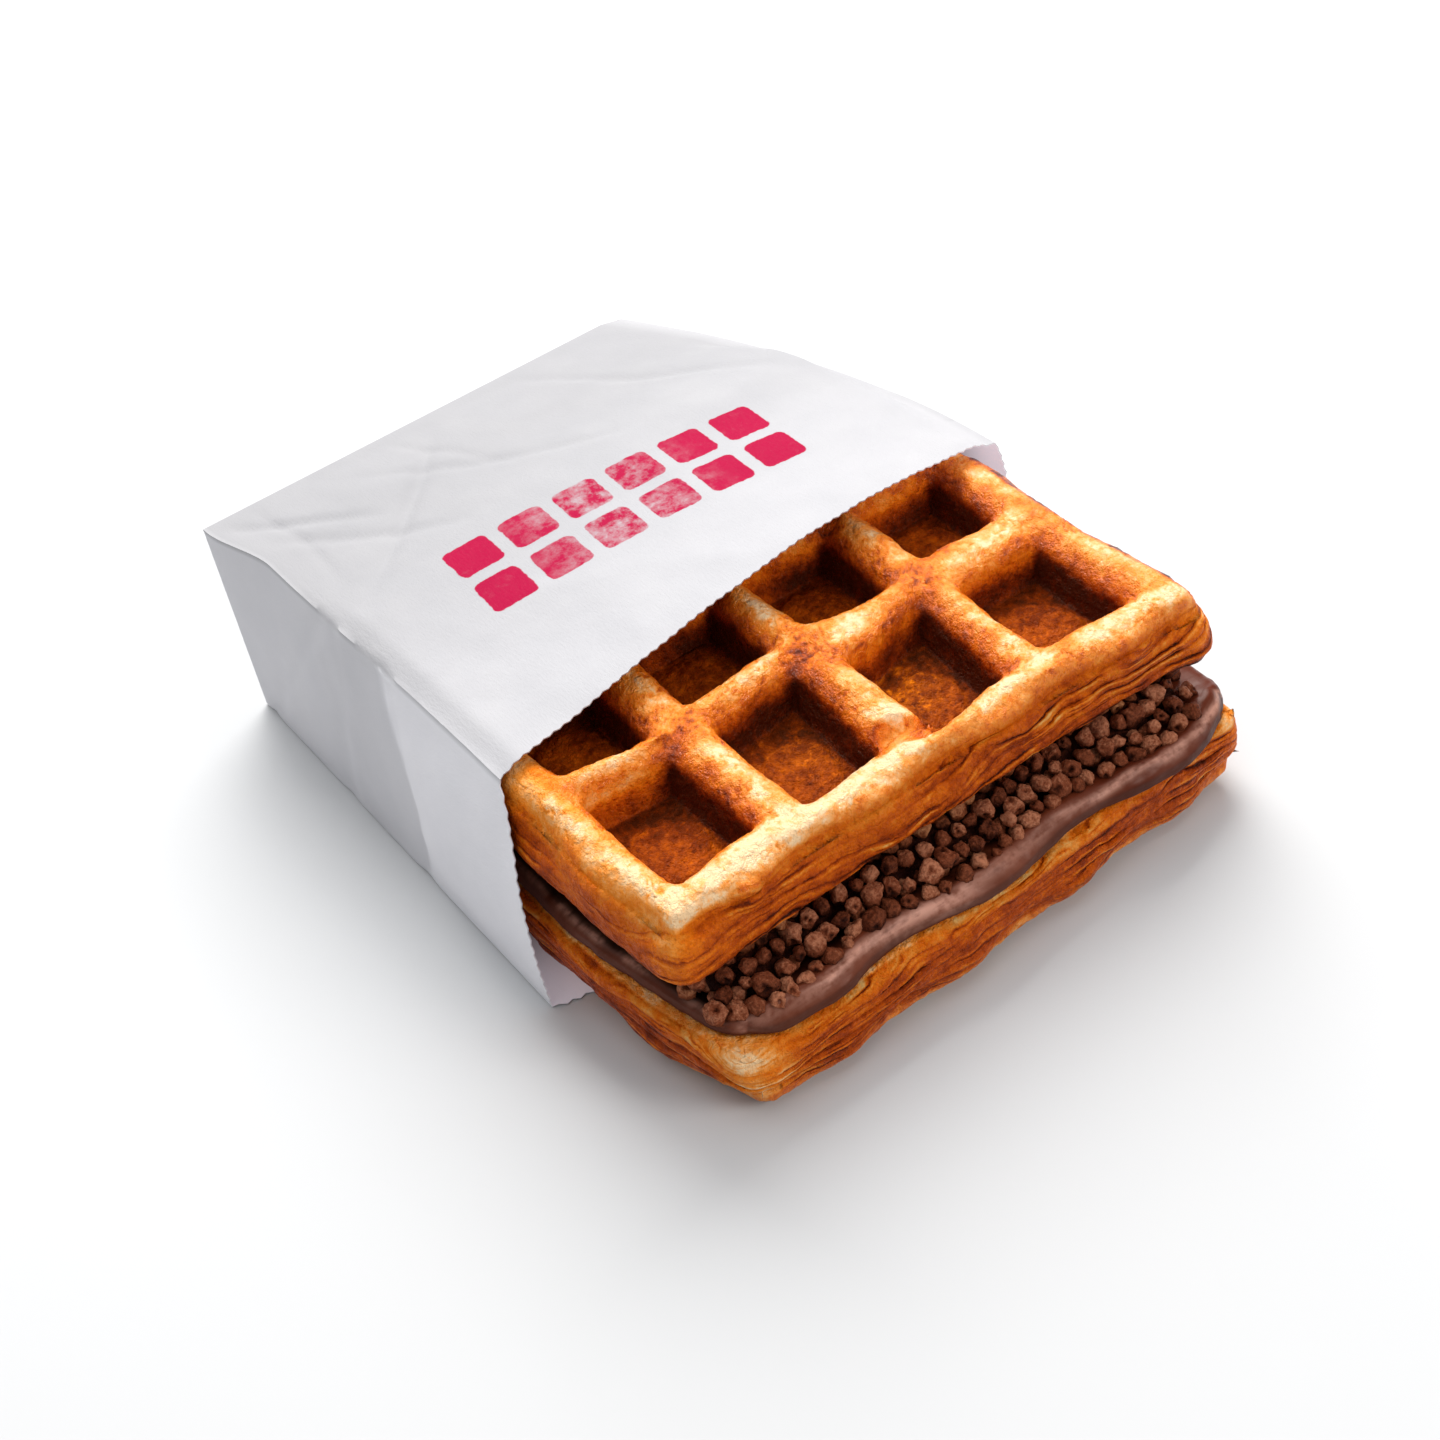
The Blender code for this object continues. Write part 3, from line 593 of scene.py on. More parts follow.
def waffle(name, depth, up, plane, outline, sides, mat, node, scale=1.0, upper=False):
    xs = spaced(-HALF_WIDTH, HALF_WIDTH, line_spacing(COLUMNS, -HALF_WIDTH, HALF_WIDTH, 99.0, scale))
    ys = spaced(FRONT, BACK, line_spacing(ROWS, FRONT, BACK, 24.0, scale))
    nx, ny = len(xs), len(ys)
    X, Y = np.meshgrid(xs, ys, indexing="ij")
    rim = np.minimum.reduce([X + HALF_WIDTH, HALF_WIDTH - X, Y - FRONT, BACK - Y])
    arc = np.where(rim < EDGE, EDGE - np.sqrt(np.clip(EDGE**2 - (EDGE - rim) ** 2, 0, None)), 0.0)
    e, local = pocket_inside(X, Y)

    # ribs are rolls, pockets have steep walls and a round foot
    q = np.clip(-e / 3.0, 0, 1)
    t = np.clip(e / 2.7, 0, 1)
    roll = 1.5
    g = 0.30 * t * (1 - t) + t * t * (3 - 2 * t)
    rim_soft = ramp(0.0, 8.0, rim)
    drop = np.where(e < 0, roll * (1 - q) ** 2.3, roll + (depth - roll) * g)
    for cx, cy in CROSSINGS:
        d = np.hypot(X - cx, Y - cy)
        drop = drop + 0.75 * bell(d, 3.0) * (e < 0.3)
    # floors: a raised puffy pad with a curved edge
    pad = np.hypot((local[..., 0] + 0.8) / 6.2, (local[..., 1] + 1.5) / 6.8)
    floor = ramp(0.82, 1.0, t)
    drop = drop - floor * (0.75 * (1 - ramp(0.86, 1.02, pad)) + 0.18 * bell(pad - 0.96, 0.09))
    beyond_x, beyond_y = local[..., 0] - local[..., 2], local[..., 1] - local[..., 3]
    slope_x = ramp(-2.4, 0.1, beyond_x) * (1 - ramp(0.3, 2.8, beyond_x)) * (1 - ramp(-1.0, 1.2, np.abs(local[..., 1]) - local[..., 3]))
    slope_y = ramp(-2.4, 0.1, beyond_y) * (1 - ramp(0.3, 2.8, beyond_y)) * (1 - ramp(-1.0, 1.2, np.abs(local[..., 0]) - local[..., 2]))
    corner = bell(np.hypot(beyond_x - 0.6, beyond_y - 0.6), 3.0)
    if upper:
        drop = drop + (1 - ramp(0.2, 2.2, e)) * (0.45 * slope_x + 0.25 * slope_y + 0.80 * corner)
    if upper:  # the rib between the second and third front pockets has lost its front end
        gone = bell(X + 0.8, 4.6) * ramp(-29.0, -26.8, Y) * (1 - ramp(-23.4, -21.4, Y + 0.10 * (X + 0.8) ** 2))
        drop = drop + (2.3 + 0.5 * fbm(np.stack([X, Y, 0 * X], -1).reshape(-1, 3), 2.4, 2, 97).reshape(X.shape)) * gone * (e < 0.2)
        drop = drop - 0.8 * bell(np.hypot(X - 4.0, Y + 1.4), 3.6)
    drop = drop + 0.35 + 0.35 * uneven(X, Y)
    down = np.maximum(drop, arc + 0.35 + 0.35 * uneven(X, Y))
    down = np.where(rim < EDGE, np.sqrt(arc**2 + drop**2) , drop)

    push = np.interp(3.1, [-a for a, _ in sides], [b for _, b in sides])
    lean = np.clip(1 - rim / EDGE, 0, 1)
    cx, cy = (0.0, (FRONT + BACK) / 2)
    PX = X + np.where(np.abs(X) > HALF_WIDTH - EDGE, np.sign(X) * push * lean, 0.0)
    PY = Y + np.where(Y < FRONT + EDGE, -push * lean, np.where(Y > BACK - EDGE, push * lean, 0.0))
    PX, PY = round_plan(PX, PY)
    OX, OY = outline(up * PX, PY, np.clip(down / THICKNESS, 0, 1))
    if upper:
        wx, wy = warp(X, Y)
        OX, OY = OX + wx, OY + wy
    else:
        OX = OX + 0.5 * uneven(2 * Y, X, 0.9) * ramp(0, 6, rim)
        OY = OY + 0.5 * uneven(2 * X, Y, 2.1) * ramp(0, 6, rim)
    top = np.stack([OX, OY, plane - up * down], axis=-1).reshape(-1, 3)
    quads = [grid_quads(nx, ny)]

    # the sides hang from the border of the top grid
    index = np.arange(nx * ny).reshape(nx, ny)
    loop = np.concatenate([index[:-1, 0], index[-1, :-1], index[:0:-1, -1], index[0, :0:-1]])
    bx, by, bd = X.ravel()[loop], Y.ravel()[loop], down.ravel()[loop]
    nl = len(loop)
    steps = int(36 / scale)
    fs = np.concatenate([np.linspace(0, 1, steps + 1)[1:], [1.0, 1.0, 1.0, 1.0]])
    insets = np.concatenate([np.zeros(steps), [0.5, 1.5, 3.0, 5.0]])
    rings, ring_depth = [], []
    for f, inset in zip(fs, insets):
        d = lerp(bd, THICKNESS, f)
        # a small round lower edge
        low = np.clip((d - (THICKNESS - 0.9)) / 0.9, 0, 1)
        tuck = 0.9 * (1 - np.sqrt(np.clip(1 - low**2, 0, 1))) + inset
        p = np.interp(np.maximum(d, 3.1), [-a for a, _ in sides], [b for _, b in sides]) - tuck
        kx, ky = (HALF_WIDTH + p) / HALF_WIDTH, ((BACK - FRONT) / 2 + p) / ((BACK - FRONT) / 2)
        on_x = np.isclose(np.abs(bx), HALF_WIDTH)
        on_y = np.isclose(by, FRONT) | np.isclose(by, BACK)
        rx = np.where(on_x, bx * kx, bx * np.where(inset > 0, kx, 1.0))
        ry = np.where(on_y, cy + (by - cy) * ky, np.where(inset > 0, cy + (by - cy) * ky, by))
        rx, ry = round_plan(rx, ry)
        rx, ry = outline(up * rx, ry, d / THICKNESS)
        rings.append(np.stack([rx, ry, plane - up * d], axis=-1))
        ring_depth.append(d)
    nr = len(rings)
    verts = np.concatenate([top] + rings)
    ids = np.concatenate([loop[None, :], nx * ny + np.arange(nr * nl).reshape(nr, nl)])
    a, b = ids[:-1], ids[1:]
    quads.append(np.stack([a, b, np.roll(b, -1, 1), np.roll(a, -1, 1)], axis=-1).reshape(-1, 4))
    quads = np.concatenate(quads)
    cap = ids[-1][::-1]

    # what each point is part of
    is_top = np.zeros(len(verts), bool)
    is_top[: nx * ny] = True
    dd = np.concatenate([down.ravel()] + ring_depth)
    ee = np.concatenate([e.ravel(), np.full(nr * nl, -6.0)])
    tt = np.concatenate([t.ravel(), np.zeros(nr * nl)])
    ff = np.concatenate([floor.ravel(), np.zeros(nr * nl)])
    rr = np.concatenate([rim.ravel(), np.zeros(nr * nl)])
    gx = np.concatenate([X.ravel(), np.tile(bx, nr)])
    gy = np.concatenate([Y.ravel(), np.tile(by, nr)])
    padding = np.concatenate([pad.ravel(), np.full(nr * nl, 9.0)])
    inset_ring = np.concatenate([np.zeros(nx * ny), np.repeat((insets > 0).astype(float), nl)])
    side = ramp(1.6, 3.6, dd) * (1 - ramp(0.0, 0.6, tt)) * np.where(rr < EDGE + 0.5, 1.0, 0.0)
    side = side * (1 - inset_ring)
    crest = (1 - ramp(0.0, 0.5, tt)) * (1 - side)

    P = verts.copy()
    N = quad_normals(P, quads)
    on_front = (1 - ramp(FRONT + 2, FRONT + 8, gy))
    on_side = ramp(HALF_WIDTH - 8, HALF_WIDTH - 2, np.abs(gx)) * (1 - on_front)
    # ---- puffiness, wrinkles and bubbles
    lump = fbm(P, 9.0, 3, 1)
    small = fbm(P, 2.6, 3, 5)
    tiny = fbm(P, 1.1, 2, 9)
    ridged = 1 - 2 * np.abs(fbm(P, 2.2, 3, 13))
    crack = bell(fbm(P, 5.0, 3, 17), 0.05) * ramp(-0.15, 0.25, noise(P[:, 0] / 12, P[:, 1] / 12, 0.3, 21))
    disp = 0.34 * lump + 0.17 * small + 0.06 * tiny
    disp = disp + ff * (0.16 * ridged + 0.17 * small + 0.10 * (1 - 2 * np.abs(fbm(P, 1.5, 2, 15))))
    disp = disp - crest * 0.30 * crack
    # ---- flaky layers on the sides
    start = np.full(len(P), 2.4)
    if upper:
        first = np.interp(gx, [-52, -45, -38, -33, -27, -20, -14, -6, 1, 6, 12, 20, 30, 40, 52], [2.0, 1.6, 1.6, 2.4, 3.7, 5.0, 5.0, 4.6, 3.6, 2.6, 3.4, 4.2, 4.0, 3.2, 2.6])
        start = lerp(np.where(gx < 0, 5.0, 3.0), first, on_front)
    wave = 2.2 * noise(P[:, 0] / 27, P[:, 1] / 27, dd / 12, 31) + 1.1 * noise(P[:, 0] / 9, P[:, 1] / 9, dd / 6, 33)
    wave = wave + 0.30 * noise(P[:, 0] / 3.2, P[:, 1] / 3.2, dd / 2, 37)
    period = np.full(len(P), 2.0)
    if upper:
        period = lerp(2.0, lerp(2.5, 1.6 + 0.5 * ramp(30.0, 44.0, gx), ramp(-4.0, 10.0, gx)), on_front)
    phase = (dd - 3.0 - 0.7 * (start - 3.0) + wave + 0.06 * np.maximum(0.0, gx - 8.0) * on_front) / period
    layer, lam = np.floor(phase), phase - np.floor(phase)

    def own(k, size, seed):
        return noise(P[:, 0] / size, P[:, 1] / size, k * 7.31 + 0.5, seed)

    step = lerp(own(layer, 14.0, 41), own(layer + 1, 14.0, 41), ramp(0.72, 1.0, lam))
    deep = ramp(start - 0.8, start + 2.0, dd)
    groove = np.maximum(bell(lam, 0.20), bell(1 - lam, 0.20))
    patchy = lerp(0.35, 1.0, ramp(-0.22, 0.12, fbm(P, 10.0, 2, 45)))
    if upper:  # the left side is one smooth golden roll, the front's left part is smooth above its foot
        calm = lerp(np.where(gx < 0, 0.18, 1.0), lerp(0.55, 1.0, ramp(-6.0, 4.0, gx)), on_front)
        patchy = np.maximum(patchy, (0.75 - 0.35 * ramp(34.0, 46.0, gx)) * on_front * ramp(2.0, 8.0, gx)) * lerp(calm, 1.0, ramp(8.5, 11.0, dd))
        patchy = patchy * lerp(1.0, 0.6, on_side * (gx > 0))
    else:
        patchy = patchy * 0.95
    power = lerp(0.10, 1.0, deep) * side * patchy
    disp = disp * (1 - 0.25 * power) + power * (0.50 * step + 0.24 * (0.5 - lam) - 0.22 * groove)
    # puffs between the rib ends on the front and the sides
    ends_x = np.cos((gx - 12.0) * 2 * np.pi / 24.4)
    ends_y = np.cos((gy + 16.0) * 2 * np.pi / 27.0)
    outer = np.where(rr < EDGE + 3.0, 1.0, 0.0) * (1 - inset_ring)
    brow = ramp(0.2, 3.0, dd) * (1 - ramp(start + 1.5, start + 4.5, dd)) * outer
    disp = disp + brow * (0.95 * ends_x * on_front + 0.6 * ends_y * on_side)
    if upper:  # a round blister near the left front corner
        away = np.hypot(gx + 37.6, dd - 4.6)
        disp = disp + on_front * outer * (0.75 * bell(away, 2.2) - 0.35 * bell(away - 3.0, 0.7))
    disp = disp * (1 - 0.85 * inset_ring)
    P = P + N * disp[:, None]

    # ---- browning, with painted shade and painted highlights added: 0 is pale cream, 1 is burnt
    facing_left, facing_front = np.clip(-N[:, 0], 0, 1), np.clip(-N[:, 1], 0, 1)
    in_wall = ramp(0.05, 0.30, tt) * (1 - ff)
    low = np.clip((dd - 1.0) / (depth - 1.0), 0, 1)
    patches = fbm(P, 4.6, 3, 47)
    bake_and_painted_light = 0.275 + 0.07 * lump + 0.13 * patches + 0.06 * small
    outside = outer * (1 - ramp(1.2, 3.4, rr)) * (1 - side)
    bake_and_painted_light = bake_and_painted_light + 0.07 * outside
    # painted shade, partly browner crust: walls darken towards their foot, and walls facing -X, away from the key
    # light, darker still
    bake_and_painted_light = bake_and_painted_light + in_wall * (0.08 + 0.40 * ramp(0.24, 0.80, low) + facing_left * (0.20 + 0.22 * ramp(0.16, 0.52, low)) + 0.02 * facing_front)
    # painted shade and light: the back wall of the second front pocket is darker, that of the first front pocket
    # lighter
    bake_and_painted_light = bake_and_painted_light + in_wall * facing_front * (0.24 * bell(np.hypot((gx + 12.0) / 10.0, (gy + 3.0) / 4.5), 1.0) - 0.32 * bell(np.hypot((gx + 40.0) / 9.0, (gy + 4.0) / 6.0), 1.0))
    pad_edge = bell(padding - 0.97, 0.055)
    # painted glints: pale specks on the floor of the third front pocket
    painted_glints = ramp(0.16, 0.42, fbm(P, 1.7, 2, 71)) * bell(np.hypot((gx - 8.0) / 5.5, (gy + 8.0) / 4.5), 1.0)
    bake_and_painted_light = bake_and_painted_light + ff * (0.47 + 0.05 * bell(np.hypot(gx + 37.0, gy + 15.0), 10.0) + 0.07 * ramp(1.0, 1.3, padding) - 0.15 * pad_edge * ramp(-0.3, 0.3, small) - 0.34 * painted_glints * upper - 0.05 * ridged + 0.05 * small) - 0.6 * ff * (bake_and_painted_light - 0.31)
    cross_cracks = bell(fbm(P, 2.3, 2, 23), 0.07)
    for cx_, cy_ in CROSSINGS:
        d = np.hypot(gx - cx_, gy - cy_)
        bake_and_painted_light = bake_and_painted_light + crest * bell(d, 4.2) * (0.14 + 0.34 * cross_cracks)
    bake_and_painted_light = bake_and_painted_light + crest * 0.22 * crack
    # rib shoulders are more golden than the crests
    bake_and_painted_light = bake_and_painted_light + (0.15 * ramp(-1.3, 0.3, ee) - 0.04) * (1 - in_wall) * (1 - ff) * (1 - side) * (ee > -6.0)
    # painted shade: the back right of every pocket's floor and lower walls is darker, where the walls' shadow falls
    lx, ly = np.concatenate([local[..., 0].ravel(), np.zeros(nr * nl)]), np.concatenate([local[..., 1].ravel(), np.zeros(nr * nl)])
    bake_and_painted_light = bake_and_painted_light + (ff + in_wall * low) * (0.14 * ramp(-3.0, 9.0, lx + ly + 1.5 * small) - 0.02)
    if upper:
        def spread_out(v):
            return np.concatenate([v.ravel(), np.zeros(nr * nl)])

        bake_and_painted_light = bake_and_painted_light + (1 - ff) * (1 - side) * (1 - in_wall) * (0.14 * spread_out(slope_x) + 0.05 * spread_out(slope_y) + 0.15 * spread_out(corner))
        # painted highlight, partly paler crust: the bands lighten the crest
        for points, wide, much in PALE_AND_HIGHLIGHT_BANDS:
            patch = 0.85 + 0.35 * noise(P[:, 0] / 4, P[:, 1] / 4, 3.3, 49)
            bake_and_painted_light = bake_and_painted_light - much * patch * bell(near_band(P[:, 0], P[:, 1], points), wide) * (1 - in_wall) * (1 - ff) * (1 - ramp(3.0, 4.5, dd))
    side_tone = 0.37 + 0.10 * deep
    if upper:
        to_left = 1 - ramp(-51.0, -40.0, gx)
        side_tone = side_tone - 0.02 * to_left * (1 - ramp(5.0, 10.0, dd)) - 0.10 * to_left * (1 - on_front) * (1 - ramp(3.0, 6.5, dd)) + 0.12 * ramp(8.5, 12.0, dd) + 0.08 * to_left * (1 - on_front) * ramp(-18.0, 0.0, gy)
        # painted highlight: the side near the front left corner is paler
        side_tone = side_tone - 0.18 * bell(gx + 52.5, 5.5) * bell(gy + 33.4, 5.5) * (1 - 0.9 * ramp(5.0, 9.0, dd))
        stump = bell(gx + 0.8, 4.6) * ramp(-28.6, -27.0, gy) * (1 - ramp(-22.6, -21.7, gy)) * (1 - side)
        bake_and_painted_light = bake_and_painted_light + 0.14 * stump
        bake_and_painted_light = bake_and_painted_light - 0.30 * bell(gx + 0.8, 3.4) * bell(gy + 20.6, 1.5) * crest
        # the outer edge on the right is thin and dark, the left rim keeps a golden tone
        right_edge = ramp(0.42, 0.90, dd) * (1 - ramp(1.7, 3.1, dd)) * lerp(0.35, 1.0, ramp(-0.25, 0.25, small + 0.5 * patches)) * ramp(49.0, 50.5, gx) * (1 - on_front) * outer
        side_tone = side_tone + 0.14 * right_edge
        bake_and_painted_light = bake_and_painted_light + 0.62 * right_edge * (1 - side) - 0.07 * (1 - ramp(-50.5, -47.0, gx)) * crest
    else:
        side_tone = side_tone + 0.07 - 0.22 * ramp(9.8, 12.4, dd) + 0.12 * (1 - ramp(1.0, 4.0, dd))
        side_tone = side_tone - 0.36 * bell(np.hypot(gx - 52.5, gy + 33.4), 6.5) - 0.08 * bell(np.hypot(gx + 52.5, gy + 33.4), 6.5) + 0.07 * (1 - on_front)
    # darker along the layer grooves: partly browner crust, partly painted shade
    side_bake = side_tone + 0.07 * lump + 0.10 * patches + 0.06 * small + lerp(0.02, 0.10, deep) * groove * patchy
    bake_and_painted_light = lerp(bake_and_painted_light, side_bake, side)
    bake_and_painted_light = bake_and_painted_light - inset_ring * 0.05
    wet = (0.36 * (1 - side) * lerp(0.25, 1.0, ramp(-49.0, -45.0, gx)) + 0.05 * side) * (1 - 0.85 * in_wall) * (1 - 0.97 * ff)
    crumb = ff * (0.50 + 0.65 * bell(np.hypot(gx - 9.0, gy + 12.0), 7.0) + 0.35 * bell(np.hypot(gx + 11.0, gy + 13.0), 6.0))
    flank = side * lerp(0.12, 1.0, deep) * lerp(0.25, 1.0, patchy)
    # side faces get a darker colour, partly browner crust and partly painted shade, less so high on the left side and
    # at the front corners
    obj = make(name, P, quads, mat, {"bake_and_painted_light": np.clip(bake_and_painted_light, 0, 1), "flank": flank, "phase": phase, "wet": wet, "side_tint_and_shade": side * lerp(1.0, ramp(2.8, 7.0, dd), (gx < -40.0) * (1 - on_front)) * (1.0 - 0.9 * bell(np.hypot(np.abs(gx) - 52.5, gy + 33.4), 6.5)), "crumb": crumb}, caps=[cap], node=node)
    return obj


# ---------------------------------------------------------------- filling


def lip_line(x):
    return -41.9 - 1.2 * np.cos(x * 2 * np.pi / 39.5) + 2.4 * ramp(44.0, 58.0, x) + 0.8 * ramp(-30.0, -48.0, x)


def spread_left(y):
    return lower_left(y) + 2.0 + 1.3 * ramp(-5.0, -25.0, y)


def spread(mat):
    edge = 2.7
    us = spaced(0.0, 103.5 + 9.0, lambda v: np.where(np.minimum(v, 112.5 - v) < edge, 0.12 + 0.2 * np.minimum(v, 112.5 - v), 0.62))
    us = us / us[-1]
    ds = spaced(0.0, 79.0, lambda v: np.where(v < edge, 0.10 + 0.2 * v, np.where(v < 9.0, 0.45, np.where(v < 30, 1.0, 2.6))))
    nx, ny = len(us), len(ds)
    U, D = np.meshgrid(us, ds, indexing="ij")
    x = lerp(spread_left(-10.0), SPREAD_RIGHT, U)
    y = lip_line(x) + D
    x = x + (spread_left(y) - spread_left(-10.0)) * (1.0 - U) ** 2
    left, right = spread_left(y), np.full_like(x, SPREAD_RIGHT)
    r = 5.5
    for sign, limit in ((1, left), (-1, right)):
        dx, dy = r - sign * (x - limit), r - D
        hit = (dx > 0) & (dy > 0)
        k = np.where(hit, np.maximum(dx, dy) / np.maximum(np.hypot(dx, dy), 1e-9), 1.0)
        x = x + np.where(hit, sign * dx * (1 - k), 0)
        y = y + np.where(hit, dy * (1 - k), 0)
    rim = np.minimum.reduce([D, (x - left) * 1.0 + 0.0 * D, right - x])
    rim = np.minimum(D, np.minimum(U * 110.0, (1 - U) * 110.0))
    level = SPREAD_LEVEL - SPREAD_BOTTOM
    # the rounded lip, higher and lower along the front, with a soft second wave on its back
    high = LIP + 0.30 * np.sin(x / 6.3 + 0.6) + 0.22 * np.sin(x / 2.9 + 2.0)
    back = 4.6 + 0.8 * np.sin(x / 8.1 + 1.0)
    crown = bell(D - 2.5 - 0.3 * np.sin(x / 7.0), 2.1)
    top = level + (high - level) * crown * (1 - 0.25 * ramp(40, 56, x))
    top = top + 0.28 * bell(D - back, 0.9) * (0.5 + 0.5 * np.sin(x / 9.7 + 2.2))
    arc = np.where(rim < edge, 1 - np.sqrt(np.clip(1 - (1 - rim / edge) ** 2, 0, 1)), 0.0)
    z = SPREAD_BOTTOM + lerp(top, 0.42 * level, arc)
    top_v = np.stack([x, y, z], axis=-1).reshape(-1, 3)
    index = np.arange(nx * ny).reshape(nx, ny)
    loop = np.concatenate([index[:-1, 0], index[-1, :-1], index[:0:-1, -1], index[0, :0:-1]])
    b = top_v[loop]
    centre = np.array([2.0, -3.0, 0.0])
    rings = []
    out = np.roll(b, -1, 0) - np.roll(b, 1, 0)
    out = np.stack([out[:, 1], -out[:, 0], 0 * out[:, 0]], axis=-1)
    out /= np.maximum(np.linalg.norm(out, axis=1, keepdims=True), 1e-9)
    for f, o in ((0.3, 0.24), (0.55, 0.12), (0.75, -0.35), (0.9, -0.9), (1.0, -1.5)):
        ring = b + out * o
        ring[:, 2] = lerp(b[:, 2], SPREAD_BOTTOM - 0.15, f)
        rings.append(ring)
    nl, nr = len(loop), len(rings)
    verts = np.concatenate([top_v] + rings)
    ids = np.concatenate([loop[None, :], nx * ny + np.arange(nr * nl).reshape(nr, nl)])
    a, c = ids[:-1], ids[1:]
    quads = np.concatenate([grid_quads(nx, ny), np.stack([a, c, np.roll(c, -1, 1), np.roll(a, -1, 1)], axis=-1).reshape(-1, 4)])
    n = quad_normals(verts, quads)
    front = 1 - ramp(4.0, 8.0, np.concatenate([D.ravel(), np.zeros(nr * nl)]))
    disp = 0.30 * noise(verts[:, 0] / 6.5, verts[:, 1] / 2.6, verts[:, 2] / 2.6, 51) + 0.12 * noise(verts[:, 0] / 2.4, verts[:, 1] / 1.6, verts[:, 2] / 1.6, 53)
    # where the lip would hang a little over the waffle; this mask is not used
    hang = bell(verts[:, 1] - lip_line(verts[:, 0]), 1.6) * ramp(0.2, 0.8, np.sin(verts[:, 0] * 2 * np.pi / 39.5 + 1.5))
    verts = verts + n * (disp * (0.35 + 0.65 * front))[:, None]
    # painted shade: under the upper waffle it lies in the dark, and the lip's foot and the band beside the left edge
    # are darkened
    vx, vy = verts[:, 0], verts[:, 1]
    under = ramp(0.7, 1.7, vx - spread_left(vy)) * ramp(-37.5, -35.0, vy) * (vx < 30)
    foot = ramp(0.45, 0.1, np.concatenate([D.ravel(), np.zeros(nr * nl)]))
    from_left = np.concatenate([(U * 112.5).ravel(), np.full(nr * nl, -9.0)])
    beside = bell(from_left - 1.0, 3.0) * ramp(-38.0, -35.0, vy)
    tint = np.repeat(((1.0 - 0.93 * under) * (1.0 - 0.40 * foot) * (1.0 - 0.30 * beside))[:, None], 3, axis=1)
    tint = tint * lerp(np.ones(3), np.array((0.80, 0.66, 0.58)), ramp(6.0, 32.0, vx)[:, None])
    depth = np.concatenate([D.ravel(), np.full(nr * nl, -9.0)])
    middle = 1.50 + 0.35 * np.sin(vx / 5.3 + 0.7) + 0.18 * np.sin(vx / 2.3)
    # painted highlight: a pale band along the lip's crown, weaker to the right, and a thin one along the left edge
    crest = bell(depth - middle, (0.90 + 0.20 * np.sin(vx / 7.1 + 2.0)) * lerp(1.0, 0.62, ramp(10.0, 34.0, vx))) * lerp(lerp(0.35, 0.60, ramp(10.0, 30.0, vx)), 1.0, ramp(-0.35, 0.25, noise(vx / 9.0, 0.5 + 0 * vx, 0.5 + 0 * vx, 57))) * lerp(0.92, 0.85, ramp(16.0, 44.0, vx)) * ramp(-51.0, -44.0, vx)
    crest = np.maximum(crest, 0.55 * bell(from_left - 1.2, 0.55) * ramp(-0.35, 0.25, noise(0.5 + 0 * vy, vy / 5.0, 0.5 + 0 * vy, 58)) * ramp(-38.0, -35.0, vy))
    return make("spread_bed", verts, quads, mat, {"tint": tint, "crest": crest}, caps=[ids[-1][::-1]], node="chocolate_spread")


def icosphere(parts):
    """Unit ball of 20 * parts ** 2 triangles."""
    g = (1 + 5**0.5) / 2
    corners = np.array([(-1, g, 0), (1, g, 0), (-1, -g, 0), (1, -g, 0), (0, -1, g), (0, 1, g), (0, -1, -g), (0, 1, -g), (g, 0, -1), (g, 0, 1), (-g, 0, -1), (-g, 0, 1)], float)
    faces = [(0, 11, 5), (0, 5, 1), (0, 1, 7), (0, 7, 10), (0, 10, 11), (1, 5, 9), (5, 11, 4), (11, 10, 2), (10, 7, 6), (7, 1, 8), (3, 9, 4), (3, 4, 2), (3, 2, 6), (3, 6, 8), (3, 8, 9), (4, 9, 5), (2, 4, 11), (6, 2, 10), (8, 6, 7), (9, 8, 1)]
    ids, verts, tris = {}, [], []

    def vid(point):
        key = tuple(np.round(point, 5))
        if key not in ids:
            ids[key] = len(verts)
            verts.append(point / np.linalg.norm(point))
        return ids[key]

    for f in faces:
        a, b, c = corners[list(f)]
        at = {}
        for i in range(parts + 1):
            for j in range(parts + 1 - i):
                at[i, j] = vid(a + (b - a) * i / parts + (c - a) * j / parts)
        for i in range(parts):
            for j in range(parts - i):
                tris.append((at[i, j], at[i + 1, j], at[i, j + 1]))
                if i + j < parts - 1:
                    tris.append((at[i + 1, j], at[i + 1, j + 1], at[i, j + 1]))
    return np.array(verts), np.array(tris)


def heap_top(x, d):
    """Height of the heap over the spread, d behind its toe."""
    return np.interp(d, [0.0, 1.0, 2.6, 4.2, 5.8, 7.4, 79.0], [0.16, 0.42, 0.62, 0.80, 0.95, 1.0, 1.0]) * (CRUNCH_TOP - CRUNCH_BOTTOM)


def toe_line(x):
    return lip_line(x) + 4.9 + 0.5 * ramp(-5.0, 25.0, x) + 0.35 * uneven(9 * x, 3.0) + 1.8 * ramp(-39.0, -46.0, x)


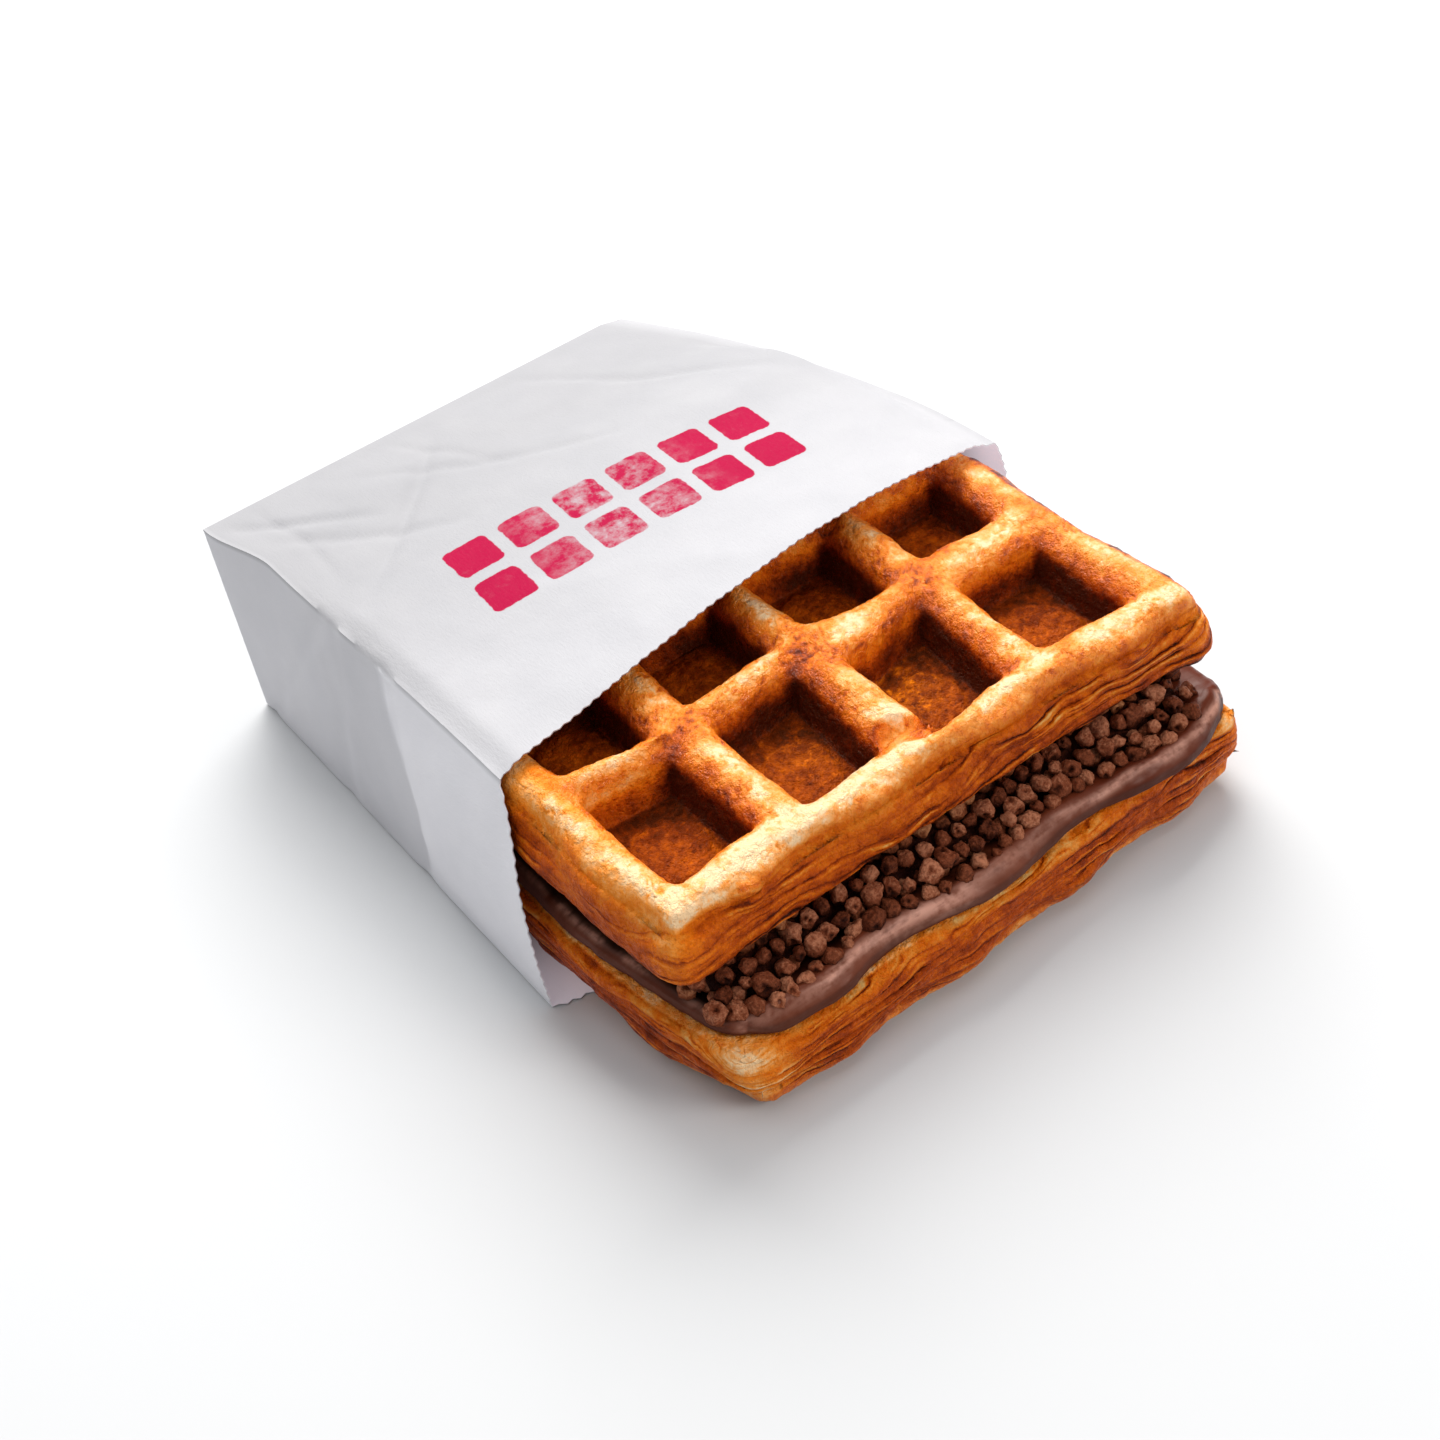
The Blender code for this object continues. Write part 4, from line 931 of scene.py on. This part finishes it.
def pearl_places():
    """Centres and sizes of the pearls that show: along the front slope and down both sides."""
    rng = np.random.RandomState(5)
    pts = []
    step = 3.05
    # front slope, in rows that climb
    for row in range(5):
        d = -0.9 + row * 2.45
        n = int(97.0 / step)
        for i in range(n + 1):
            x = -46.0 + (i + 0.5 * (row % 2)) * 97.0 / n
            if x > 50.6:
                continue
            jit = rng.uniform(-0.55, 0.55, 3)
            y = toe_line(x) + d + jit[1]
            top = CRUNCH_BOTTOM + max(heap_top(x, d), 2.6)
            pts.append((x + jit[0], y, top - 1.75 + 0.5 * jit[2], rng.uniform(1.22, 1.90), 0))
            if row >= 1:
                pts.append((x + rng.uniform(-1.2, 1.2), y + rng.uniform(0.2, 1.4), max(top - 4.9, CRUNCH_BOTTOM + 1.0), rng.uniform(1.3, 1.75), 0))
    front = len(pts)
    # the two sides
    for x0, sign in ((-46.0, 1), (50.5, -1)):
        for level in range(3):
            for k in range(24):
                y = -30.0 + k * 3.3 + rng.uniform(-0.5, 0.5)
                pts.append((x0 + sign * (1.2 + rng.uniform(0, 1.0)), y, CRUNCH_BOTTOM + 1.6 + 2.55 * level + rng.uniform(-0.3, 0.3), rng.uniform(1.4, 1.85), 1))
    # a few strays that lie on the spread
    for x, d in ((-39.5, -2.0), (18.5, -1.9), (51.6, 1.2), (52.4, 5.6)):
        pts.append((x, float(toe_line(np.array(x))) + d, SPREAD_LEVEL + 1.15, rng.uniform(1.35, 1.7), 0))
    P = np.array(pts)
    c, r, group = P[:, :3], P[:, 3], P[:, 4]
    # push overlapping pearls apart
    for _ in range(60):
        diff = c[:, None] - c[None]
        dist = np.linalg.norm(diff, axis=2) + np.eye(len(c)) * 99
        over = np.maximum(0.0, 0.92 * (r[:, None] + r[None]) - dist)
        move = (diff / dist[..., None] * over[..., None]).sum(1) * 0.35
        c = c + np.clip(move, -0.5, 0.5)
        c[:, 2] = np.clip(c[:, 2], SPREAD_LEVEL + 0.75 * r, -12.9 - r * 0.9)
        in_front = c[:, 1] < -33.0
        limit = toe_line(c[:, 0]) - 1.6
        c[:, 1] = np.maximum(c[:, 1], limit)
        c[:, 0] = np.clip(c[:, 0], -47.6, 53.0)
    return c, r, group


def pearls(mat):
    c, r, group = pearl_places()
    rng = np.random.RandomState(8)
    balls = {parts: icosphere(parts) for parts in (3, 4, 6)}
    vs, tris, tone, pit_shade, painted_bounce_tint = [], [], [], [], []
    for k in range(len(c)):
        behind = c[k, 1] - toe_line(c[k, 0])
        if group[k] == 0 and behind > 11.5:
            continue
        base, tri = balls[3 if group[k] else 6 if behind < 5.6 else 4]
        rot = np.linalg.qr(rng.normal(size=(3, 3)))[0]
        if np.linalg.det(rot) < 0:
            rot[:, 0] *= -1
        p = base @ rot.T
        flats = rng.normal(size=(rng.randint(9, 15), 3))
        flats /= np.linalg.norm(flats, axis=1, keepdims=True)
        reach = rng.uniform(0.74, 1.0, len(flats))
        cut = np.maximum(p @ flats.T, 0.05) / reach
        rad = 1.0 / (np.sum(cut**18, axis=1) + 0.85**18) ** (1 / 18)
        rad = rad * (1.0 + 0.09 * noise(p[:, 0] * 1.6 + 9.0 * k, p[:, 1] * 1.6, p[:, 2] * 1.6, 61) + 0.12 * noise(p[:, 0] * 4.1 + 5.0 * k, p[:, 1] * 4.1, p[:, 2] * 4.1, 63))
        hole = np.zeros(len(p))
        for _ in range(rng.randint(0, 3)):
            axis = rng.normal(size=3) + np.array((-0.6, -0.6, 0.7))
            axis /= np.linalg.norm(axis)
            ang = np.arccos(np.clip(p @ axis, -1, 1))
            w = rng.uniform(0.26, 0.40)
            h = bell(ang, w)
            hole = np.maximum(hole, h)
            rad = rad - rng.uniform(0.25, 0.50) * h + 0.09 * bell(ang - w * 1.8, w * 0.5)
        squeeze = rng.uniform(0.80, 1.10, 3) * rng.uniform(0.86, 1.08)
        q = p * rad[:, None] * squeeze * r[k] + c[k]
        tris.append(tri + sum(len(v) for v in vs))
        vs.append(q)
        # painted shade and light: each pearl's underside is darker and its top lighter
        tone.append(np.full(len(q), rng.uniform(0.40, 0.89)) - 0.50 * np.clip(-p[:, 2] + 0.30, 0, 1.1) + 0.10 * np.clip(p[:, 2] - 0.4, 0, 1))
        pit_shade.append(hole)
        # painted reflected light: pearls further back, under the upper waffle, get the olive tint
        painted_bounce_tint.append(np.full(len(q), (group[k] == 0) * float(ramp(4.5, 9.0, c[k, 1] - toe_line(c[k, 0])))))
    verts, faces = np.concatenate(vs), np.concatenate(tris)
    make("crunch_pearls_loose", verts, faces, mat, {"tone": np.concatenate(tone), "pit_shade": np.concatenate(pit_shade), "painted_bounce_tint": np.concatenate(painted_bounce_tint)}, node="crunch_layer")
    print("pearls", len(vs), "triangles", len(faces))


def crunch_core(mat):
    """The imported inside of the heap, 1.7 mm smaller than its outline where pearls show."""
    x0, x1 = -44.6, 49.0
    us = np.linspace(x0, x1, 80)
    ds = np.concatenate([np.linspace(1.9, 12.0, 12), np.linspace(16.0, 74.5, 16)])
    U, D = np.meshgrid(us, ds, indexing="ij")
    x, y = U, toe_line(U) + D
    z = CRUNCH_BOTTOM + np.maximum(heap_top(x, D - 1.6) - 1.5, 0.5)
    z = z + 0.5 * noise(x / 1.9, y / 1.9, 0.0, 71)
    z = np.minimum(z, -13.4)
    top = np.stack([x, y, z], axis=-1).reshape(-1, 3)
    nx, ny = U.shape
    index = np.arange(nx * ny).reshape(nx, ny)
    loop = np.concatenate([index[:-1, 0], index[-1, :-1], index[:0:-1, -1], index[0, :0:-1]])
    b = top[loop].copy()
    b[:, 2] = SPREAD_LEVEL - 0.2
    verts = np.concatenate([top, b])
    ids = np.stack([loop, nx * ny + np.arange(len(loop))])
    a, c = ids[:1], ids[1:]
    quads = np.concatenate([grid_quads(nx, ny), np.stack([a, c, np.roll(c, -1, 1), np.roll(a, -1, 1)], axis=-1).reshape(-1, 4)])
    # painted shade: the core is near black, standing in for the shade in the gaps between the pearls
    return make("crunch_core", verts, quads, mat, {"tone": np.full(len(verts), 0.05), "pit_shade": np.zeros(len(verts)), "painted_bounce_tint": np.zeros(len(verts))}, caps=[ids[-1][::-1]], node="crunch_layer")


# ---------------------------------------------------------------- bag


def bag_point(s, t, w):
    mouth_left = lerp(-6.1, 6.1, w**2.1)
    mouth_right = lerp(3.0, 16.7, np.sin(np.minimum(1.0, 1.2 * w) * np.pi / 2))
    mouth = lerp(mouth_left, mouth_right, s) - 4.5 * np.sin(np.pi * s**0.6) * (1 - w) ** 3
    back = lerp(lerp(84.5, 88.6, w), lerp(99.0, 104.3, w), s)
    y = lerp(mouth, back, t)
    left_top = lerp(-53.1, -54.6, ramp(0.0, 0.83, t)) - 3.8 * ramp(0.8, 1.0, t)
    left = lerp(-57.6, left_top, w ** (1.0 + 2.0 * (1.0 - t) ** 0.7))
    right_top = 53.8 - 0.9 * t - 18.7 * t * t
    right_bottom = 62.0 - 11.0 * t**2.5
    right = right_top + (right_bottom - right_top) * (1 - w) ** 0.35
    x = lerp(left, right, s)
    corner_left = 0.3 - 0.2 * t
    corner_right = 0.4 - 10.6 * t**1.3
    base = lerp(corner_left, corner_right, s)
    dome = MOUTH_ARCH * np.sin(np.pi * s**1.25) * (1 - t) ** 1.2
    over = lerp(np.maximum(base, 1.4), base, ramp(0.44, 0.8, t))
    edge = np.minimum(ramp(0.0, 0.04, s), ramp(0.0, 0.04, 1 - s))
    top = lerp(base, over, edge) + dome
    z = lerp(BAG_BOTTOM, top, w)
    return np.stack([x, y, z], axis=-1)


def build_bag(mat):
    thick = 0.22
    nb, ns, nt = 108, 36, 88  # points across, up and along
    ss = np.linspace(0, 1, nb + 1)
    ws = np.linspace(0, 1, ns + 1)
    ts = np.concatenate([[0.0, 0.007], np.linspace(0.016, 1.0, nt - 1)])
    nt = len(ts)
    key, verts, st = {}, [], []

    def vid(i, k, j):
        """Vertex at across i, up k, along j."""
        if (i, k, j) not in key:
            key[(i, k, j)] = len(verts)
            verts.append((ss[i], ts[j], ws[k]))
            st.append((i, k, j))
        return key[(i, k, j)]

    quads = []
    for j in range(nt - 1):
        for i in range(nb):  # top and bottom sheets
            quads.append((vid(i, ns, j), vid(i + 1, ns, j), vid(i + 1, ns, j + 1), vid(i, ns, j + 1)))
            quads.append((vid(i, 0, j), vid(i, 0, j + 1), vid(i + 1, 0, j + 1), vid(i + 1, 0, j)))
        for k in range(ns):  # left and right sheets
            quads.append((vid(0, k, j), vid(0, k + 1, j), vid(0, k + 1, j + 1), vid(0, k, j + 1)))
            quads.append((vid(nb, k, j), vid(nb, k, j + 1), vid(nb, k + 1, j + 1), vid(nb, k + 1, j)))
    for i in range(nb):
        for k in range(ns):  # closed end
            quads.append((vid(i, k, nt - 1), vid(i, k + 1, nt - 1), vid(i + 1, k + 1, nt - 1), vid(i + 1, k, nt - 1)))
    stw = np.array(verts)
    st = np.array(st)
    quads = np.array(quads)
    s, t, w = stw.T
    P = bag_point(s, t, w)
    N = quad_normals(P, quads)
    i, k, j = st.T

    # ---- creases and dents, along the sheet's normal, outward positive
    on_top, on_left = (k == ns), (i == 0)
    inner = np.minimum.reduce([ramp(0, 0.05, s) * ramp(0, 0.05, 1 - s) + (on_left | (i == nb)), ramp(0, 0.06, w) * ramp(0, 0.06, 1 - w) + (on_top | (k == 0)) * 1.0, ramp(0.0, 0.04, 1 - t) + 0.0])
    inner = np.clip(inner, 0, 1)
    soft = 0.55 * fbm(P, 34.0, 2, 81)
    facet = np.abs(fbm(P, 26.0, 2, 85)) - 0.25
    fine = 0.10 * fbm(P, 7.0, 2, 89)
    disp = -0.15 + 0.35 * soft - 0.45 * facet + fine
    disp = np.minimum(disp, 0.05)
    disp = np.where(k == 0, 0.0, disp)  # the bottom sheet lies flat
    # fold lines on the left gusset
    fold = np.zeros(len(P))
    fold += (1.1 * (1 - ramp(0.30, 0.40, t)) * np.sin(np.pi * np.clip(w * 1.15, 0, 1)) - 0.35 * bell((t - 0.40) * 95, 2.6)) * on_left
    fold += -0.30 * bell(((t - 0.62) + 0.10 * (w - 0.5)) * 95, 2.2) * on_left
    fold += -0.30 * bell(((t - 0.86) + 0.35 * (w - 0.3)) * 95, 1.6) * on_left
    # broad creases on the top sheet
    for (sx, sy, ex, ey, amp, width) in ((0.06, 0.55, 0.52, 0.98, 0.70, 1.7), (0.28, 0.92, 0.62, 0.55, 0.45, 1.4), (0.05, 0.86, 0.30, 0.60, 0.48, 1.3), (0.72, 0.98, 0.93, 0.45, 0.50, 1.5), (0.02, 0.97, 0.22, 0.78, 0.55, 1.2), (0.10, 0.98, 0.07, 0.66, 0.35, 1.0), (0.40, 0.99, 0.47, 0.70, 0.30, 1.2)):
        ax, ay = s - sx, t - sy
        dx, dy = ex - sx, ey - sy
        l = np.hypot(dx * 106, dy * 92)
        along = np.clip((ax * 106 * dx * 106 + ay * 92 * dy * 92) / l**2, 0, 1)
        dist = np.hypot((ax - along * dx) * 106, (ay - along * dy) * 92)
        fold += -amp * bell(dist, width) * on_top * np.sin(np.pi * np.clip(along, 0.02, 0.98)) ** 0.5
    disp = disp + fold
    P = P + N * (disp * inner)[:, None]
    # pinked mouth
    tooth = np.where(((i + k) % 2 == 0), 0.0, np.where(on_top, 0.32, 0.5))
    P[:, 1] += np.where(j == 0, tooth, 0.0) + np.where(j == 1, 0.15 * tooth, 0.0)
    # paper thickness
    inside = P - N * thick
    nv = len(P)
    verts = np.concatenate([P, inside])
    faces = [quads, quads[:, ::-1] + nv]
    rim = [vid(a, ns, 0) for a in range(nb)] + [vid(nb, a, 0) for a in range(ns, 0, -1)] + [vid(a, 0, 0) for a in range(nb, 0, -1)] + [vid(0, a, 0) for a in range(ns)]
    rim = np.array(rim)
    nxt = np.roll(rim, -1)
    faces.append(np.stack([rim, rim + nv, nxt + nv, nxt], axis=-1))
    quads = np.concatenate(faces)
    # print position: millimetres on the top sheet
    print_mm = np.zeros((len(verts), 3))
    px, py = P[:, 0] + 3.0, P[:, 1] - 42.5
    ang = math.radians(3.0)
    print_mm[:nv, 0] = px * math.cos(ang) - py * math.sin(ang)
    print_mm[:nv, 1] = px * math.sin(ang) + py * math.cos(ang)
    print_mm[:nv, 2] = (on_top & (i > 0) & (i < nb)).astype(float)
    # painted shade and light: the far end of the top and the side behind the fold are darker, where they take less
    # light, with a dark line at the fold and light lines along two creases; the side before the fold is lighter; the
    # inside is tinted lilac grey
    folded = ramp(0.375, 0.395, t + 0.02 * np.sin(w * 5.0) - 0.01)
    side_tone = lerp(1.93, 1.56, folded) - 0.10 * folded * bell(t - 0.56, 0.16) - 0.05 * bell(t - 0.385, 0.012)
    side_tone = side_tone + 0.05 * bell((t - 0.62) * 95 + 3.0 * (w - 0.5), 1.6) + 0.05 * bell((t - 0.88) * 95 + 14.0 * (w - 0.2), 1.5) * (w < 0.5)
    tone = np.where(on_left, side_tone, np.where(on_top, 1.08 - 0.27 * ramp(0.02, 0.8, t), 0.97))
    tone = np.where(on_left & on_top, 1.16 - 0.20 * ramp(0.02, 0.8, t), tone)  # no bright line where the sheets meet
    tint = np.ones((len(verts), 3))
    tint[:nv] = tone[:, None]
    tint[nv:] = (1.05, 0.97, 1.02)
    # painted light: an emitted glow on the inside at the mouth stands in for light that comes through the thin paper
    glow = np.zeros((len(verts), 3))
    through = ramp(0.25, 0.02, t) * np.where(w > 0.5, 0.56 * ramp(0.7, 0.97, s), 0.20)
    glow[nv:] = through[:, None] * np.array((0.98, 0.90, 1.0))
    obj = make("paper_bag_sheet", verts, quads, mat, {"print_mm": print_mm, "tint": tint, "glow": glow}, node="paper_bag")
    obj.data.set_sharp_from_angle(angle=math.radians(38))
    return obj


# ---------------------------------------------------------------- stage, camera, lights


def stage():
    me = bpy.data.meshes.new("ground")
    a = 3.0
    me.from_pydata([(-a, -a, -0.0003), (a, -a, -0.0003), (a, a, -0.0003), (-a, a, -0.0003)], [], [(0, 1, 2, 3)])
    n = Nodes("pale_ground")
    me.materials.append(n.set(
        Base_Color=(0.562, 0.569, 0.580, 1.0), Roughness=0.9, Specular_IOR_Level=0.0
    ))
    obj = bpy.data.objects.new("ground", me)
    bpy.context.scene.collection.objects.link(obj)


def camera():
    rows = ((0.788091, -0.612257, -0.063673), (-0.466647, -0.526778, -0.710454), (0.401439, 0.589615, -0.700857))
    place = (np.array((-152.192, -198.224, 229.195)) + SHIFT) * MM
    x, y, z = rows[0], [-c for c in rows[1]], [-c for c in rows[2]]
    cam = bpy.data.cameras.new("view")
    cam.sensor_fit, cam.sensor_width, cam.lens = "HORIZONTAL", 36.0, 54.50985
    cam.clip_start, cam.clip_end = 0.01, 20.0
    obj = bpy.data.objects.new("view", cam)
    obj.matrix_world = Matrix([(x[k], y[k], z[k], place[k]) for k in range(3)] + [(0, 0, 0, 1)])
    bpy.context.scene.collection.objects.link(obj)
    bpy.context.scene.camera = obj


def area(name, place, target, size, power, colour=(1, 1, 1), size_y=None):
    light = bpy.data.lights.new(name, "AREA")
    light.shape = "RECTANGLE"
    light.size, light.size_y = size, size_y or size
    light.energy, light.color = power, colour
    obj = bpy.data.objects.new(name, light)
    place, target = np.array(place, float), np.array(target, float)
    z = place - target
    z /= np.linalg.norm(z)
    x = np.cross((0, 1, 0.01), z)
    x /= np.linalg.norm(x)
    y = np.cross(z, x)
    obj.matrix_world = Matrix([(x[k], y[k], z[k], place[k]) for k in range(3)] + [(0, 0, 0, 1)])
    bpy.context.scene.collection.objects.link(obj)
    return obj


def lights():
    area("key", (0.35, 0.67, 0.74), (0, 0, 0.02), 0.80, 19.2, (1.0, 0.985, 0.955))
    area("top", (-0.10, 0.30, 1.1), (0, 0, 0.02), 1.4, 8.2, (0.98, 0.985, 1.0))
    area("front", (0.42, -0.74, 0.60), (0, 0, 0.02), 0.40, 4.2, (1.0, 0.98, 0.95))
    area("left", (-0.90, -0.30, 0.55), (0, 0, 0.02), 0.6, 0.5, (0.98, 0.98, 1.0))
    world = bpy.data.worlds.new("studio")
    world.use_nodes = True
    world.node_tree.nodes["Background"].inputs["Color"].default_value = (0.98, 0.99, 1.0, 1.0)
    world.node_tree.nodes["Background"].inputs["Strength"].default_value = 0.30
    bpy.context.scene.world = world
    bpy.context.scene.view_settings.view_transform = "Standard"


# ---------------------------------------------------------------- the whole


stage()
camera()
lights()

crust = crust_material("waffle_crust_upper", 0.0, 1.3)
crust_low = crust_material("waffle_crust_lower_half", -0.01, 1.4)
waffle("waffle_upper", 8.6, 1, 0.0, upper_outline, UPPER_SIDE, crust, "top_waffle", upper=True)
waffle("waffle_lower", 7.6, -1, LOWER_RIBS, lower_outline, LOWER_SIDE, crust_low, "bottom_waffle", scale=1.2)
spread(spread_material())
pearl_mat = pearl_material()
crunch_core(pearl_mat)
pearls(pearl_mat)
build_bag(paper_material())

for o in bpy.data.objects:
    if o.type == "MESH" and o.name not in ("ground",) and not o.name.startswith(("top_waffle", "bottom_waffle", "chocolate_spread", "crunch_layer", "paper_bag.")):
        print("piece", o.name, "triangles", sum(len(p.vertices) - 2 for p in o.data.polygons))
